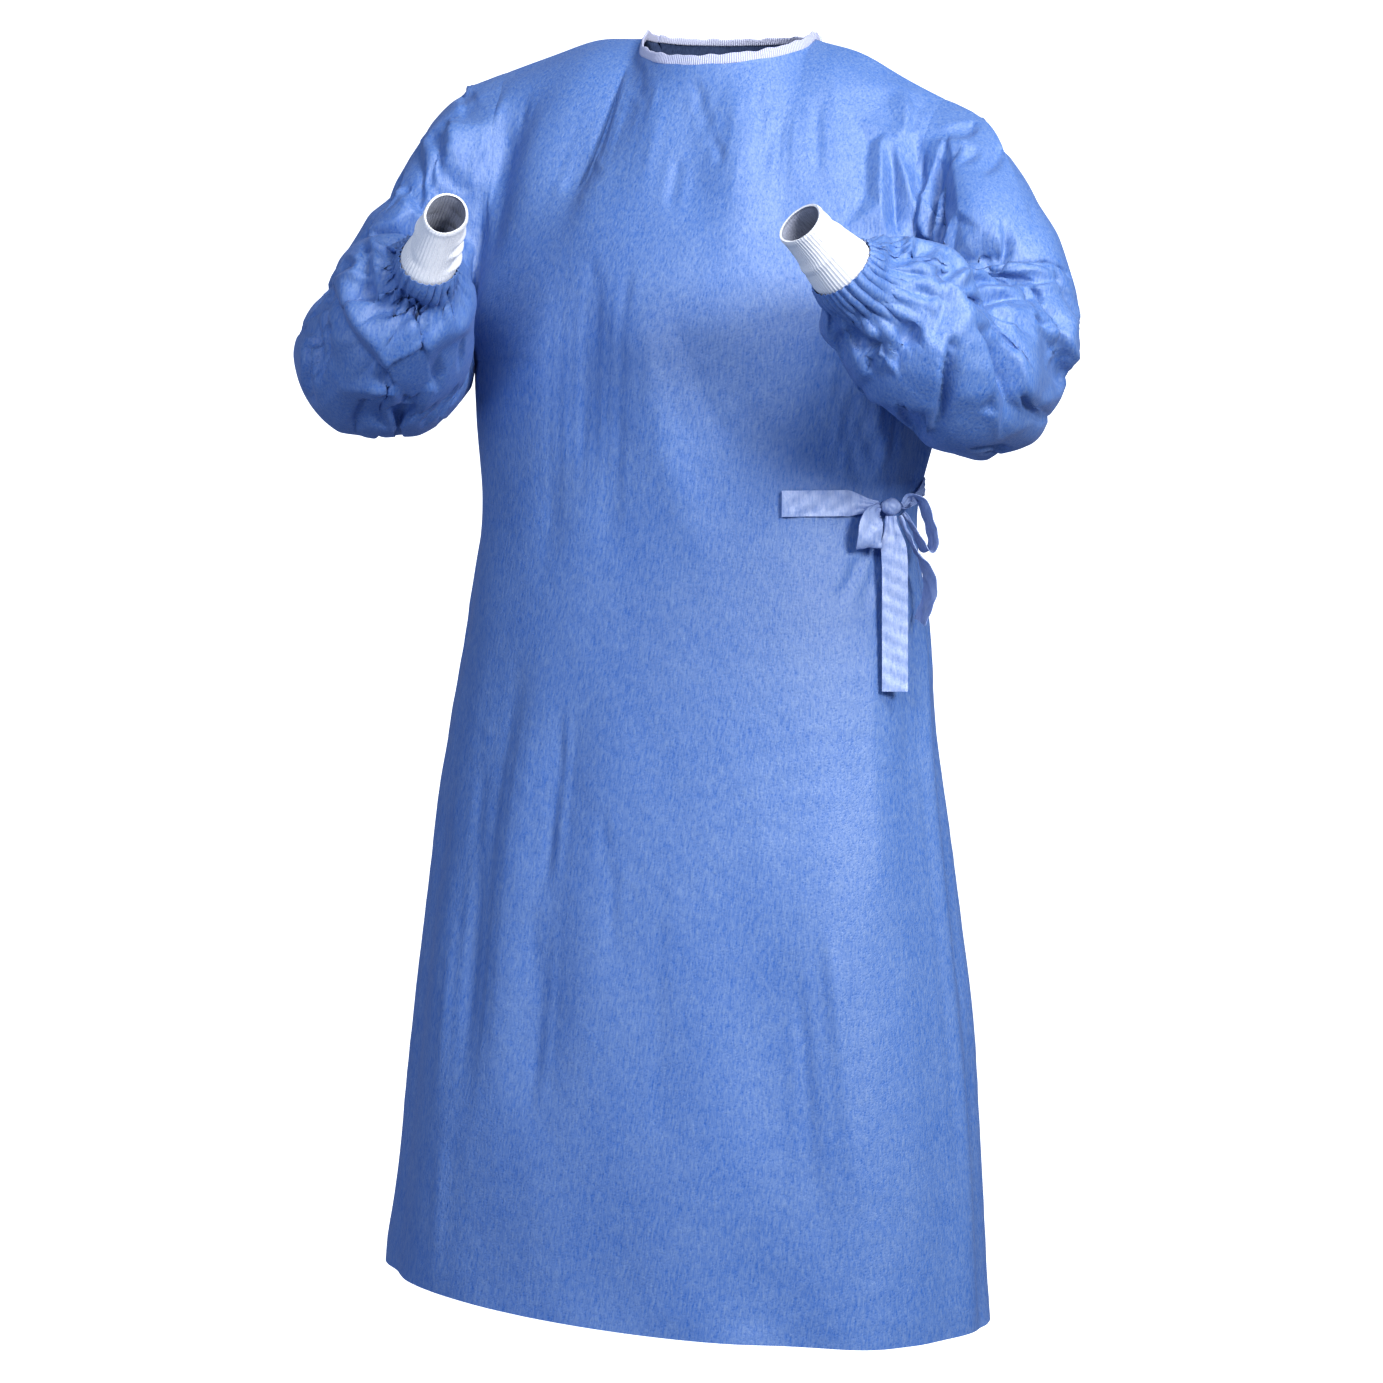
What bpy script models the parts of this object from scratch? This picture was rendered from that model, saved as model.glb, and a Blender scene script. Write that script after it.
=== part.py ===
"""Surgical gown with a wrap back, standing open and hollow as if worn.

The origin is the base of the neck, midway between the shoulders.  +Z is up, the front
faces -Y and +X is the wearer's left.  Sizes are in metres and angles in degrees.

The body is one surface, ring_point(angle, height): 0 degrees is the centre front, 90 the
wearer's left side, 180 the centre back.  The front and the two back panels are stretches of
it, the sleeves start from its armholes, and the ties lie on it, moved out.
"""
import bpy
import numpy as np

# ---- cloth ----
WALL = 0.0016            # every cloth wall
KNIT_WALL = 0.0022       # rib-knit cuffs
TAPE = 0.0014            # ties and belt
EDGE_PULL = 0.0002       # each piece stops this far short of a seam
SLEEVE_PULL = 0.0005     # and between the four solids of a sleeve
LAYER = 0.0050           # how far the outer back panel lies outside the inner one

# ---- neck and shoulders ----
NECK_HALF = 0.0885
NECK_FRONT_DEPTH = 0.086
NECK_BACK_DEPTH = 0.078
NECK_FRONT_Z = -0.027
NECK_BACK_Z = 0.005
BINDING_HEIGHT = 0.0105
BINDING_THICK = 0.0028
BINDING_LEAN = 0.30      # how far the binding leans towards the neck, per unit of height
NECK_SHARE = 0.42        # share of a panel's columns that end at the neck
SHOULDERS = {            # side: neck end height, then the sleeve end
    -1: {"neck_z": 0.006, "tip_x": -0.236, "tip_z": -0.022, "arch": 0.006},
    1: {"neck_z": 0.000, "tip_x": 0.220, "tip_z": -0.060, "arch": 0.002},
}

# ---- body, one row for each level from the underarm to the hem ----
# z, middle_x, middle_y, half_width, front, back
BODY = np.array([
    (-0.310, -0.009, -0.031, 0.234, 0.146, 0.108),
    (-0.380, -0.012, -0.032, 0.230, 0.146, 0.108),
    (-0.455, -0.017, -0.035, 0.219, 0.143, 0.108),
    (-0.560, -0.019, -0.040, 0.235, 0.146, 0.112),
    (-0.700, -0.0245, -0.048, 0.2525, 0.152, 0.122),
    (-0.860, -0.0265, -0.056, 0.2745, 0.158, 0.134),
    (-1.050, -0.0270, -0.062, 0.2960, 0.163, 0.146),
    (-1.236, -0.0310, -0.066, 0.3120, 0.166, 0.156),
])
UNDERARM_Z = BODY[0, 0]
HEM_Z = BODY[-1, 0]
HEM_TILT = -0.034        # the hem falls this much for each unit towards the wearer's left
ARMHOLE_SWELL = 0.258    # how far a column beside the armhole runs to the front or back

COLUMN_RISE = 0.27       # how steeply a column leaves the underarm's level
ARMHOLE_RISE = 0.10      # the same beside the armhole
ARMHOLE_DRAW = 0.035     # and how far it draws in there
TOP_RUN = 0.26           # how steadily a column reaches the shoulder seam, from the front or back
TOP_RISE = 0.10
NECK_RISE = 0.26         # and the neckline
SHOULDER_REACH = 0.05    # how far it also runs outwards at the sleeve end
FOLD_RADIUS = 0.21       # turns an angle between folds into a distance

# ---- soft troughs (-) and ridges (+) of the body ----
# top_angle, top_z, low_angle, low_z, width, height
FOLDS = np.array([
    (-37, -0.010, -38, -0.180, 0.012, -0.0070),
    (-28, -0.010, -29, -0.220, 0.020, 0.0050),
    (-6, -0.030, 9, -0.200, 0.018, -0.0050),
    (15, -0.030, 17, -0.260, 0.020, 0.0050),
    (27, -0.020, 32, -0.240, 0.020, -0.0045),
    (-29, -0.200, -31, -0.560, 0.016, -0.0050),
    (-18, -0.220, -21, -0.480, 0.014, -0.0045),
    (-14, -0.210, 14, -0.520, 0.026, 0.0050),
    (42, -0.280, 62, -0.470, 0.012, -0.0060),
    (54, -0.300, 68, -0.470, 0.010, 0.0050),
    (-35, -0.560, -40, -1.060, 0.016, -0.0070),
    (-30, -0.600, -34, -1.120, 0.024, 0.0050),
    (-20, -0.700, -22, -1.080, 0.026, -0.0035),
    (28, -0.760, 34, -1.500, 0.034, -0.0060),
    (44, -0.640, 50, -1.500, 0.030, 0.0060),
    (-62, -0.560, -66, -1.500, 0.026, -0.0070),
    (72, -0.560, 74, -1.500, 0.034, -0.0060),
    (108, -0.520, 106, -1.500, 0.040, 0.0080),
    (128, -0.300, 131, -1.500, 0.034, -0.0090),
    (150, -0.140, 149, -0.420, 0.026, 0.0050),
    (152, -0.520, 156, -1.500, 0.040, 0.0080),
    (178, -0.120, 180, -1.500, 0.036, -0.0080),
    (202, -0.200, 203, -1.500, 0.036, 0.0070),
    (226, -0.140, 226, -1.500, 0.034, -0.0090),
    (248, -0.500, 250, -1.500, 0.038, 0.0080),
])

# ---- back wrap ----
FLAP_SHARE = 0.31        # the outer, right back panel runs this far past the centre back
UNDER_SHARE = -0.33      # the inner, left back panel runs this far the other way
FLAP_FLARE = 0.010       # how far the flap's free edge stands away at the hem
FASTENER_ROWS = (1.9, 1.0, 0.5)          # of the inner panel's grid, from the neckline down
FASTENER_COLUMNS = (12.1, 13.0, 13.9)    # of the same grid, from the side seam
FASTENER_GAP = 0.0003
FASTENER_OUT = 0.0015

# ---- sleeves ----
ARMS = {                 # crook of the elbow, wrist, end of the cuff
    -1: {"crook": (-0.260, -0.130, -0.250), "wrist": (-0.189, -0.300, -0.219),
         "cuff_end": (-0.158, -0.328, -0.176), "cuff_turn": -11.0},
    1: {"crook": (0.248, -0.134, -0.246), "wrist": (0.2187, -0.320, -0.2299),
        "cuff_end": (0.190, -0.355, -0.190), "cuff_turn": 20.0},
}
BEND_RADIUS = 0.074      # of the sleeve's centre line round the crook
# along (0 start of the bend, 1 its end, 2 the wrist), outer, crook_side, over, under
SLEEVES = {
    -1: np.array([
        (0.00, 0.080, 0.062, 0.098, 0.062),
        (0.40, 0.080, 0.062, 0.096, 0.073),
        (0.80, 0.080, 0.062, 0.088, 0.082),
        (1.10, 0.080, 0.062, 0.080, 0.084),
        (1.50, 0.080, 0.060, 0.070, 0.066),
        (1.80, 0.054, 0.050, 0.052, 0.052),
        (2.00, 0.036, 0.035, 0.034, 0.034),
    ]),
    1: np.array([
        (0.00, 0.080, 0.062, 0.099, 0.066),
        (0.40, 0.090, 0.062, 0.089, 0.080),
        (0.80, 0.098, 0.062, 0.076, 0.094),
        (1.10, 0.101, 0.062, 0.070, 0.090),
        (1.50, 0.086, 0.060, 0.068, 0.074),
        (1.80, 0.056, 0.050, 0.052, 0.052),
        (2.00, 0.036, 0.035, 0.034, 0.034),
    ]),
}
# along, angle (0 outside of the elbow, 90 its upper side, 180 crook), length, spread, height
CROOK_FOLDS = [
    (0.10, 180, 0.07, 75, -0.0080),
    (0.30, 175, 0.07, 85, 0.0060),
    (0.50, 180, 0.07, 85, -0.0070),
    (0.72, 185, 0.07, 80, 0.0060),
    (0.93, 180, 0.08, 75, -0.0080),
    (1.20, 175, 0.10, 70, 0.0050),
]
SLEEVE_FOLDS = {
    -1: CROOK_FOLDS + [
        (0.60, 45, 0.50, 60, 0.0100),
        (0.35, 95, 0.10, 45, -0.0060),
        (1.25, 70, 0.12, 50, -0.0060),
        (1.50, 150, 0.12, 60, 0.0050),
        (1.00, 320, 0.14, 50, -0.0060),
    ],
    1: CROOK_FOLDS + [
        (0.30, 60, 0.10, 55, -0.0050),
        (0.62, 90, 0.08, 60, -0.0060),
        (0.95, 70, 0.10, 60, 0.0060),
        (1.30, 110, 0.10, 60, -0.0070),
        (1.52, 60, 0.10, 60, 0.0050),
        (0.80, 320, 0.14, 60, -0.0060),
    ],
}
CUFFS = {                # share of the cuff's length, wide half, thin half
    -1: np.array([
        (0.00, 0.0370, 0.0275),
        (0.30, 0.0345, 0.0235),
        (0.60, 0.0325, 0.0215),
        (1.00, 0.0310, 0.0195),
    ]),
    1: np.array([
        (0.00, 0.0350, 0.0300),
        (0.30, 0.0325, 0.0265),
        (0.60, 0.0305, 0.0240),
        (1.00, 0.0290, 0.0215),
    ]),
}
GATHER_DEPTH = 0.0016
GATHER_START = 1.72
SLEEVE_DROP = {-1: -0.28, 1: -0.36}      # fall of the sleeve's cap for each unit outwards
SLEEVE_PUSH = 1.15       # how far the cap keeps that way, in shares of its length
SLEEVE_CLEARANCE = 0.003 # between a sleeve and the body it lies against
SLEEVE_NEAR = 0.045      # sleeve points farther than this from the body are left alone

# ---- ties, in millimetres from the knot: across the view, towards the viewer, up ----
TIE_WIDTH = 0.0245
TIE_Z = -0.4435          # height of the tie sewn on the front
FRONT_TIE_START = 33.6   # angle of its free end
BELT_START = 158.0       # angle where the belt is sewn on the outer back panel
BELT_Z = -0.4310
KNOT_ANGLE = 66.5
KNOT_Z = -0.4475
KNOT_OUT = 0.012         # of the knot's middle from the cloth
KNOT_HALF = (0.0095, 0.0070, 0.0075)
BOW_TURN = 20.0          # the bow faces this far round from the front
TAIL_END_Z = -0.6215
TAIL_CLEARANCE = 0.0045
TAIL_ASIDE = 0.0035
# across, forward, up, the edge's way across, forward and up, width
FRONT_LOOP = np.array([
    (-10.5, 6.0, 0.0, 0.00, 0.00, 1.00, 8.0),
    (-14.5, 12.0, -2.0, -0.40, 0.15, 0.90, 13.0),
    (-18.0, 18.5, -9.0, -0.80, 0.30, 0.45, 21.0),
    (-20.0, 22.0, -18.0, -0.93, 0.37, 0.10, 24.5),
    (-21.0, 22.5, -28.0, -0.93, 0.37, 0.00, 24.5),
    (-21.5, 20.5, -35.0, -0.93, 0.37, 0.00, 24.5),
    (-21.5, 17.0, -37.5, -0.93, 0.37, 0.00, 24.5),
    (-21.5, 13.8, -34.5, -0.93, 0.37, 0.00, 24.5),
    (-20.5, 13.0, -26.0, -0.93, 0.37, 0.00, 24.0),
    (-18.0, 12.0, -17.0, -0.80, 0.30, 0.40, 18.0),
    (-14.0, 7.5, -11.0, -0.40, 0.15, 0.85, 10.0),
    (-10.5, 3.0, -8.5, -0.20, 0.00, 1.00, 7.0),
])
SIDE_LOOP = np.array([
    (10.8, 1.0, 1.8, 0.00, 0.50, 0.85, 6.0),
    (13.2, 1.0, 3.4, -0.10, 0.65, 0.75, 9.0),
    (17.0, 1.0, 8.0, -0.30, 0.85, 0.50, 14.0),
    (23.0, 0.0, 10.0, 0.20, 0.95, 0.10, 21.0),
    (29.5, -2.0, 5.0, 0.35, 0.93, 0.05, 24.0),
    (34.0, -3.0, -6.0, 0.35, 0.93, 0.05, 24.5),
    (38.5, -4.0, -20.0, 0.35, 0.93, 0.05, 24.5),
    (40.5, -4.5, -33.0, 0.35, 0.93, 0.05, 24.5),
    (38.0, -4.5, -41.5, 0.35, 0.93, 0.05, 24.5),
    (33.0, -4.0, -41.5, 0.35, 0.93, 0.05, 24.5),
    (28.5, -3.0, -34.0, 0.30, 0.95, 0.05, 23.0),
    (23.0, -2.0, -23.0, 0.20, 0.97, 0.10, 18.0),
    (16.5, -1.0, -12.5, 0.10, 0.90, 0.40, 12.0),
    (11.6, -1.0, -6.0, 0.00, 0.70, 0.70, 6.0),
])
SHORT_TAIL = np.array([
    (8.6, 0.0, -8.6, 0.50, 0.80, 0.20, 5.0),
    (12.2, 1.5, -18.0, 0.25, 0.96, 0.10, 8.0),
    (17.8, 3.0, -30.0, 0.20, 0.97, 0.00, 13.0),
    (23.0, 3.0, -41.0, 0.10, 0.99, 0.00, 20.0),
    (31.0, 1.5, -52.0, 0.30, 0.95, 0.00, 24.0),
    (36.5, 0.0, -66.0, 0.45, 0.89, 0.00, 24.5),
    (37.5, -2.0, -80.0, 0.45, 0.89, 0.00, 24.5),
    (34.0, -4.0, -95.0, 0.45, 0.89, 0.00, 24.5),
    (28.5, -6.0, -110.0, 0.45, 0.89, 0.00, 24.5),
])

# ---- grid sizes ----
ROWS_UP = 12             # rows between the underarm and the shoulder
ROWS_DOWN = 16
SHOULDER_CELLS = 7
NECK_CELLS = 12
BACK_SIDE_CELLS = 7
BEND_ROWS = 11
FOREARM_ROWS = 9
CUFF_ROWS = 4
UPPER_ROWS = 11
WRIST_ROWS = 5           # the last of the forearm's
ELBOW_END = UPPER_ROWS + BEND_ROWS
WRIST_START = ELBOW_END + FOREARM_ROWS - WRIST_ROWS
SLEEVE_PARTS = (         # each sleeve is four solids, so that its inside stays open
    ("upper", 0, UPPER_ROWS),
    ("elbow", UPPER_ROWS, ELBOW_END),
    ("forearm", ELBOW_END, WRIST_START),
    ("wrist", WRIST_START, WRIST_START + WRIST_ROWS),
)


def smoothstep(value):
    """0 below 0, 1 above 1, and 3t^2 - 2t^3 between."""
    t = np.clip(value, 0.0, 1.0)
    return t * t * (3.0 - 2.0 * t)


def read_table(table, at):
    """The table's columns at each place of the first one, on a smooth curve."""
    knots = table[:, 0]
    values = table[:, 1:]
    slopes = np.gradient(values, knots, axis=0)
    order = 1.0 if knots[-1] > knots[0] else -1.0
    place = np.clip(np.searchsorted(knots * order, np.asarray(at) * order) - 1, 0, len(knots) - 2)
    span = knots[place + 1] - knots[place]
    t = np.clip((at - knots[place]) / span, -0.2, 1.0)[..., None]
    return hermite(values[place], slopes[place] * span[..., None],
                   values[place + 1], slopes[place + 1] * span[..., None], t)


def hermite(start, start_slope, end, end_slope, t):
    """The cubic that leaves start and reaches end with the given slopes."""
    t2 = t * t
    t3 = t2 * t
    return ((2 * t3 - 3 * t2 + 1) * start + (t3 - 2 * t2 + t) * start_slope
            + (3 * t2 - 2 * t3) * end + (t3 - t2) * end_slope)


def unit(vectors):
    """The vectors at length 1."""
    return vectors / np.maximum(np.linalg.norm(vectors, axis=-1, keepdims=True), 1e-12)


# ---------------------------------------------------------------- the body's surface

def outward(angle):
    """The level direction that faces away from the body at an angle round it."""
    turn = np.radians(angle)
    return np.stack([np.sin(turn), -np.cos(turn), np.zeros_like(turn)], axis=-1)


def fold_height(angle, height):
    """How far the cloth stands out of its plain form: the sum of all troughs and ridges."""
    total = np.zeros(np.broadcast(angle, height).shape)
    for top_angle, top_z, low_angle, low_z, width, depth in FOLDS:
        share = np.clip((top_z - height) / (top_z - low_z), 0.0, 1.0)
        centre = top_angle + (low_angle - top_angle) * share
        aside = np.radians((angle - centre + 180.0) % 360.0 - 180.0) * FOLD_RADIUS
        fade = smoothstep(share / 0.25) * smoothstep((1.0 - share) / 0.35)
        total = total + depth * fade * np.exp(-(aside / width) ** 2)
    return total


def ring_point(angle, height):
    """A point of the body below the underarm: half ellipses of the level's sizes."""
    sizes = read_table(BODY, height)
    turn = np.radians(angle)
    depth = np.where(np.cos(turn) > 0.0, sizes[..., 3], sizes[..., 4])
    x = sizes[..., 0] + sizes[..., 2] * np.sin(turn)
    low = np.clip((UNDERARM_Z - height) / (UNDERARM_Z - HEM_Z), 0.0, 1.0)
    return np.stack([x, sizes[..., 1] - depth * np.cos(turn), height + HEM_TILT * x * low ** 2],
                    axis=-1)


def neck_share(angle):
    """-1 to 1 along the neckline of the half that an angle lies on, past that the shoulder."""
    turn = (angle + 180.0) % 360.0 - 180.0
    half = np.where(np.abs(turn) < 90.001, turn, np.sign(turn) * 180.0 - turn)
    return half / 90.0


def top_edge(angle, back):
    """The point where a column of the body ends, on the neckline or the shoulder seam."""
    share = neck_share(angle)
    side = np.where(share < 0.0, -1, 1)
    neck_z = np.where(side < 0, SHOULDERS[-1]["neck_z"], SHOULDERS[1]["neck_z"])
    tip_x = np.where(side < 0, SHOULDERS[-1]["tip_x"], SHOULDERS[1]["tip_x"])
    tip_z = np.where(side < 0, SHOULDERS[-1]["tip_z"], SHOULDERS[1]["tip_z"])
    arch = np.where(side < 0, SHOULDERS[-1]["arch"], SHOULDERS[1]["arch"])
    depth, middle_z, way = ((NECK_BACK_DEPTH, NECK_BACK_Z, 1.0) if back
                            else (NECK_FRONT_DEPTH, NECK_FRONT_Z, -1.0))
    turn = np.clip(share / NECK_SHARE, -1.0, 1.0) * np.pi / 2
    round_part = np.maximum(np.cos(turn), 0.0)
    along = np.clip((np.abs(share) - NECK_SHARE) / (1.0 - NECK_SHARE), 0.0, 1.0)
    x = NECK_HALF * np.sin(turn) + along * (tip_x - side * NECK_HALF)
    y = way * depth * round_part
    z = (neck_z + (middle_z - neck_z) * round_part ** 0.8
         + along * (tip_z - neck_z) + arch * np.sin(np.pi * along))
    return np.stack([x, y, z], axis=-1), round_part, along


def upper_point(angle, share, back):
    """A point above the underarm; share runs from 0 at the underarm to 1 at the top edge.

    Each column is a cubic.  It leaves the underarm level straight up, or towards the front
    or back at the armhole, and it meets the top edge level, or steeply at the neckline.
    """
    way = 1.0 if back else -1.0
    start = ring_point(angle, UNDERARM_Z * np.ones_like(angle))
    end, round_part, along = top_edge(angle, back)
    side = np.sign(end[..., 0])
    edge = smoothstep(np.abs(neck_share(angle))) ** 3
    zero = np.zeros_like(angle)
    rise = np.stack([zero, zero, COLUMN_RISE + zero], axis=-1)
    sweep = np.stack([-side * ARMHOLE_DRAW, way * ARMHOLE_SWELL + zero, ARMHOLE_RISE + zero],
                     axis=-1)
    leave = rise * (1.0 - edge)[..., None] + sweep * edge[..., None]
    over = np.stack([side * SHOULDER_REACH * along, -way * TOP_RUN + zero, TOP_RISE + zero],
                    axis=-1)
    steep = np.stack([zero, -way * TOP_RISE + zero, NECK_RISE + zero], axis=-1)
    arrive = over * (1.0 - round_part)[..., None] + steep * round_part[..., None]
    return hermite(start, leave, end, arrive, share[..., None])


def body_grid(angles, back, rows_down=ROWS_DOWN, rows_up=ROWS_UP):
    """The body's points, a row for each level from the hem up and a column for each angle."""
    down = np.linspace(HEM_Z, UNDERARM_Z, rows_down + 1)[:-1]
    angle, height = np.meshgrid(angles, down)
    lower = ring_point(angle, height)
    angle_up, share = np.meshgrid(angles, np.linspace(0.0, 1.0, rows_up + 1))
    upper = upper_point(angle_up, share, back)
    points = np.concatenate([lower, upper])
    every_angle = np.broadcast_to(angles, points.shape[:2])
    fade = np.concatenate([np.ones(rows_down), 1.0 - np.linspace(0.0, 1.0, rows_up + 1) ** 6])
    lift = fold_height(every_angle, points[..., 2]) * fade[:, None]
    return points + outward(every_angle) * lift[..., None]


def lower_surface(angle, height):
    """A point of the folded body below the underarm."""
    return ring_point(angle, height) + outward(angle) * fold_height(angle, height)[..., None]


# ---------------------------------------------------------------- walls

def grid_normals(points, closed):
    """The outward normals of a grid whose columns turn to the right and rows go up."""
    if closed:
        across = np.roll(points, -1, axis=1) - np.roll(points, 1, axis=1)
    else:
        across = np.gradient(points, axis=1)
    return unit(np.cross(across, np.gradient(points, axis=0)))


def pull_edges(points, sides, amount=EDGE_PULL):
    """Move the named edges of a grid a little towards its middle."""
    moved = points.copy()
    inner = {"bottom": (0, 1), "top": (-1, -2)}
    for side in sides:
        if side in inner:
            edge, near = inner[side]
            moved[edge] += amount * unit(points[near] - points[edge])
        else:
            edge, near = (0, 1) if side == "left" else (-1, -2)
            moved[:, edge] += amount * unit(points[:, near] - points[:, edge])
    return moved


def wall_faces(rows, columns, closed):
    """Faces of a wall: outer grid, inner grid turned round, and the rims between them."""
    last = columns if closed else columns - 1
    r, c = np.meshgrid(np.arange(rows - 1), np.arange(last), indexing="ij")
    after = (c + 1) % columns
    a = r * columns + c
    b = r * columns + after
    d = (r + 1) * columns + c
    e = (r + 1) * columns + after
    inner = rows * columns
    outer_faces = np.stack([a, b, e, d], axis=-1).reshape(-1, 4)
    inner_faces = np.stack([a, d, e, b], axis=-1).reshape(-1, 4) + inner
    c = np.arange(last)
    after = (c + 1) % columns
    top = (rows - 1) * columns
    rims = [np.stack([after, c, c + inner, after + inner], axis=-1),
            np.stack([top + c, top + after, top + after + inner, top + c + inner], axis=-1)]
    if not closed:
        left = np.arange(rows - 1) * columns
        right = left + columns - 1
        rims.append(np.stack([left, left + columns, left + columns + inner, left + inner], axis=-1))
        rims.append(np.stack([right + columns, right, right + inner, right + columns + inner],
                             axis=-1))
    return np.concatenate([outer_faces, inner_faces] + rims)


def add_object(name, vertices, faces, material):
    """A named object made of the given points and faces."""
    mesh = bpy.data.meshes.new(name)
    mesh.from_pydata([tuple(v) for v in vertices.reshape(-1, 3).tolist()], [],
                     [tuple(f) for f in faces.tolist()])
    mesh.materials.append(material)
    mesh.shade_smooth()
    mesh.validate()
    piece = bpy.data.objects.new(name, mesh)
    bpy.context.scene.collection.objects.link(piece)
    return piece


def add_wall(name, outer, normals, thickness, material, closed=False):
    """A cloth wall whose outer face is the grid and whose thickness goes inwards."""
    inner = outer - normals * thickness
    faces = wall_faces(outer.shape[0], outer.shape[1], closed)
    return add_object(name, np.stack([outer, inner]), faces, material)


def add_ribbon(name, path, across, width, thickness, material):
    """A flat strip along a path; across points from one long edge to the other."""
    along = unit(np.gradient(path, axis=0))
    across = unit(across - along * np.sum(across * along, axis=1, keepdims=True))
    face = np.cross(along, across)
    half = across * (np.broadcast_to(width, len(path)) / 2)[:, None]
    skin = face * thickness / 2
    ring = np.stack([path - half - skin, path + half - skin, path + half + skin,
                     path - half + skin], axis=1)
    return add_object(name, ring, tube_faces(len(path), 4), material)


def tube_faces(rows, columns):
    """Faces of a closed tube with flat ends; each ring turns left about the way it runs."""
    r, c = np.meshgrid(np.arange(rows - 1), np.arange(columns), indexing="ij")
    after = (c + 1) % columns
    sides = np.stack([r * columns + c, r * columns + after, (r + 1) * columns + after,
                      (r + 1) * columns + c], axis=-1).reshape(-1, 4)
    fan = np.arange(1, columns - 1, 2)
    first = np.stack([np.zeros_like(fan), fan + 2, fan + 1, fan], axis=-1) % columns
    end = np.stack([np.zeros_like(fan), fan, fan + 1, fan + 2], axis=-1) % columns
    end = end + (rows - 1) * columns
    return np.concatenate([sides, first, end])


# ---------------------------------------------------------------- materials

def make_material(name, color, roughness):
    """A plain cloth finish."""
    material = bpy.data.materials.new(name)
    material.use_nodes = True
    shader = material.node_tree.nodes["Principled BSDF"]
    shader.inputs["Base Color"].default_value = (*color, 1.0)
    shader.inputs["Roughness"].default_value = roughness
    shader.inputs["Metallic"].default_value = 0.0
    return material


# ---------------------------------------------------------------- panels

def front_angles():
    """The columns of the front panel, closest at the neck."""
    neck = NECK_SHARE * 90.0
    return np.concatenate([np.linspace(-90.0, -neck, SHOULDER_CELLS + 1),
                           np.linspace(-neck, neck, NECK_CELLS + 1)[1:],
                           np.linspace(neck, 90.0, SHOULDER_CELLS + 1)[1:]])


def back_angles(far_share, side):
    """The columns of a back panel, from the wearer's left to the right."""
    neck = NECK_SHARE * 90.0
    shoulder = np.linspace(90.0, 180.0 - neck, SHOULDER_CELLS + 1)
    across = np.linspace(180.0 - neck, 180.0 - side * far_share * 90.0, BACK_SIDE_CELLS + 1)
    left_side = np.concatenate([shoulder, across[1:]])
    return left_side if side > 0 else 360.0 - left_side[::-1]


def flap_lift(points, angles):
    """How far the outer back panel lies outside the body's plain surface."""
    neck_angle = 180.0 + NECK_SHARE * 90.0
    over = smoothstep((neck_angle - angles) / 11.0)
    edge = 180.0 - FLAP_SHARE * 90.0
    near_edge = smoothstep((edge + 25.0 - angles) / 25.0)
    low = smoothstep((-0.50 - points[..., 2]) / 0.7)
    return LAYER * over + FLAP_FLARE * near_edge * low


def make_body_grids():
    """The three panels' outer points and column angles."""
    front = front_angles()
    left = back_angles(UNDER_SHARE, 1)
    right = back_angles(FLAP_SHARE, -1)
    grids = {"front": body_grid(front, False), "left": body_grid(left, True),
             "right": body_grid(right, True)}
    lift = flap_lift(grids["right"], right)
    grids["right"] = grids["right"] + outward(np.broadcast_to(right, lift.shape)) * lift[..., None]
    return grids


def armhole_loop(grids, side):
    """The armhole's points: from the shoulder down the front and up the back."""
    back = grids["left" if side > 0 else "right"]
    front_edge = grids["front"][ROWS_DOWN:, -1 if side > 0 else 0]
    back_edge = back[ROWS_DOWN:, 0 if side > 0 else -1]
    return np.concatenate([front_edge[::-1], back_edge[1:-1]])


# ---------------------------------------------------------------- sleeves

def bend_frame(centre, crook, wrist):
    """The plane of the bent arm: the way from the crook to the shoulder, and the elbow's way."""
    to_shoulder = unit(centre - crook)
    to_wrist = unit(wrist - crook)
    away = unit(-(to_wrist - to_shoulder * np.dot(to_wrist, to_shoulder)))
    return to_shoulder, away


def sleeve_path(loop, arm):
    """Centre line of a sleeve: straight, round the crook, straight, then the cuff.

    Returns points, the outer direction at each, and the place of each (-1 at the armhole,
    0 and 1 at the bend's ends, 2 at the wrist, 3 at the cuff's end).
    """
    centre = loop.mean(axis=0)
    crook, wrist, cuff_end = (np.array(arm[key]) for key in ("crook", "wrist", "cuff_end"))
    first, second = bend_frame(centre, crook, wrist)
    start_turn = np.arccos(BEND_RADIUS / np.linalg.norm(centre - crook))
    wrist_turn = np.arctan2(np.dot(wrist - crook, second), np.dot(wrist - crook, first))
    wrist_turn = wrist_turn % (2 * np.pi)
    end_turn = wrist_turn - np.arccos(BEND_RADIUS / np.linalg.norm(wrist - crook))
    turns = np.linspace(start_turn, end_turn, 41)
    arc = crook + BEND_RADIUS * (np.cos(turns)[:, None] * first + np.sin(turns)[:, None] * second)
    upper = centre + (arc[0] - centre) * np.linspace(0.0, 1.0, 31)[:-1, None]
    lower = arc[-1] + (wrist - arc[-1]) * np.linspace(0.0, 1.0, 41)[1:, None]
    cuff = wrist + (cuff_end - wrist) * np.linspace(0.0, 1.0, 21)[1:, None]
    points = np.concatenate([upper, arc, lower, cuff])
    place = np.concatenate([np.linspace(-1, 0, 31)[:-1], np.linspace(0, 1, 41),
                            np.linspace(1, 2, 41)[1:], np.linspace(2, 3, 21)[1:]])
    outer = np.cos(start_turn) * first + np.sin(start_turn) * second
    return points, place, carry_frame(points, outer)


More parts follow.
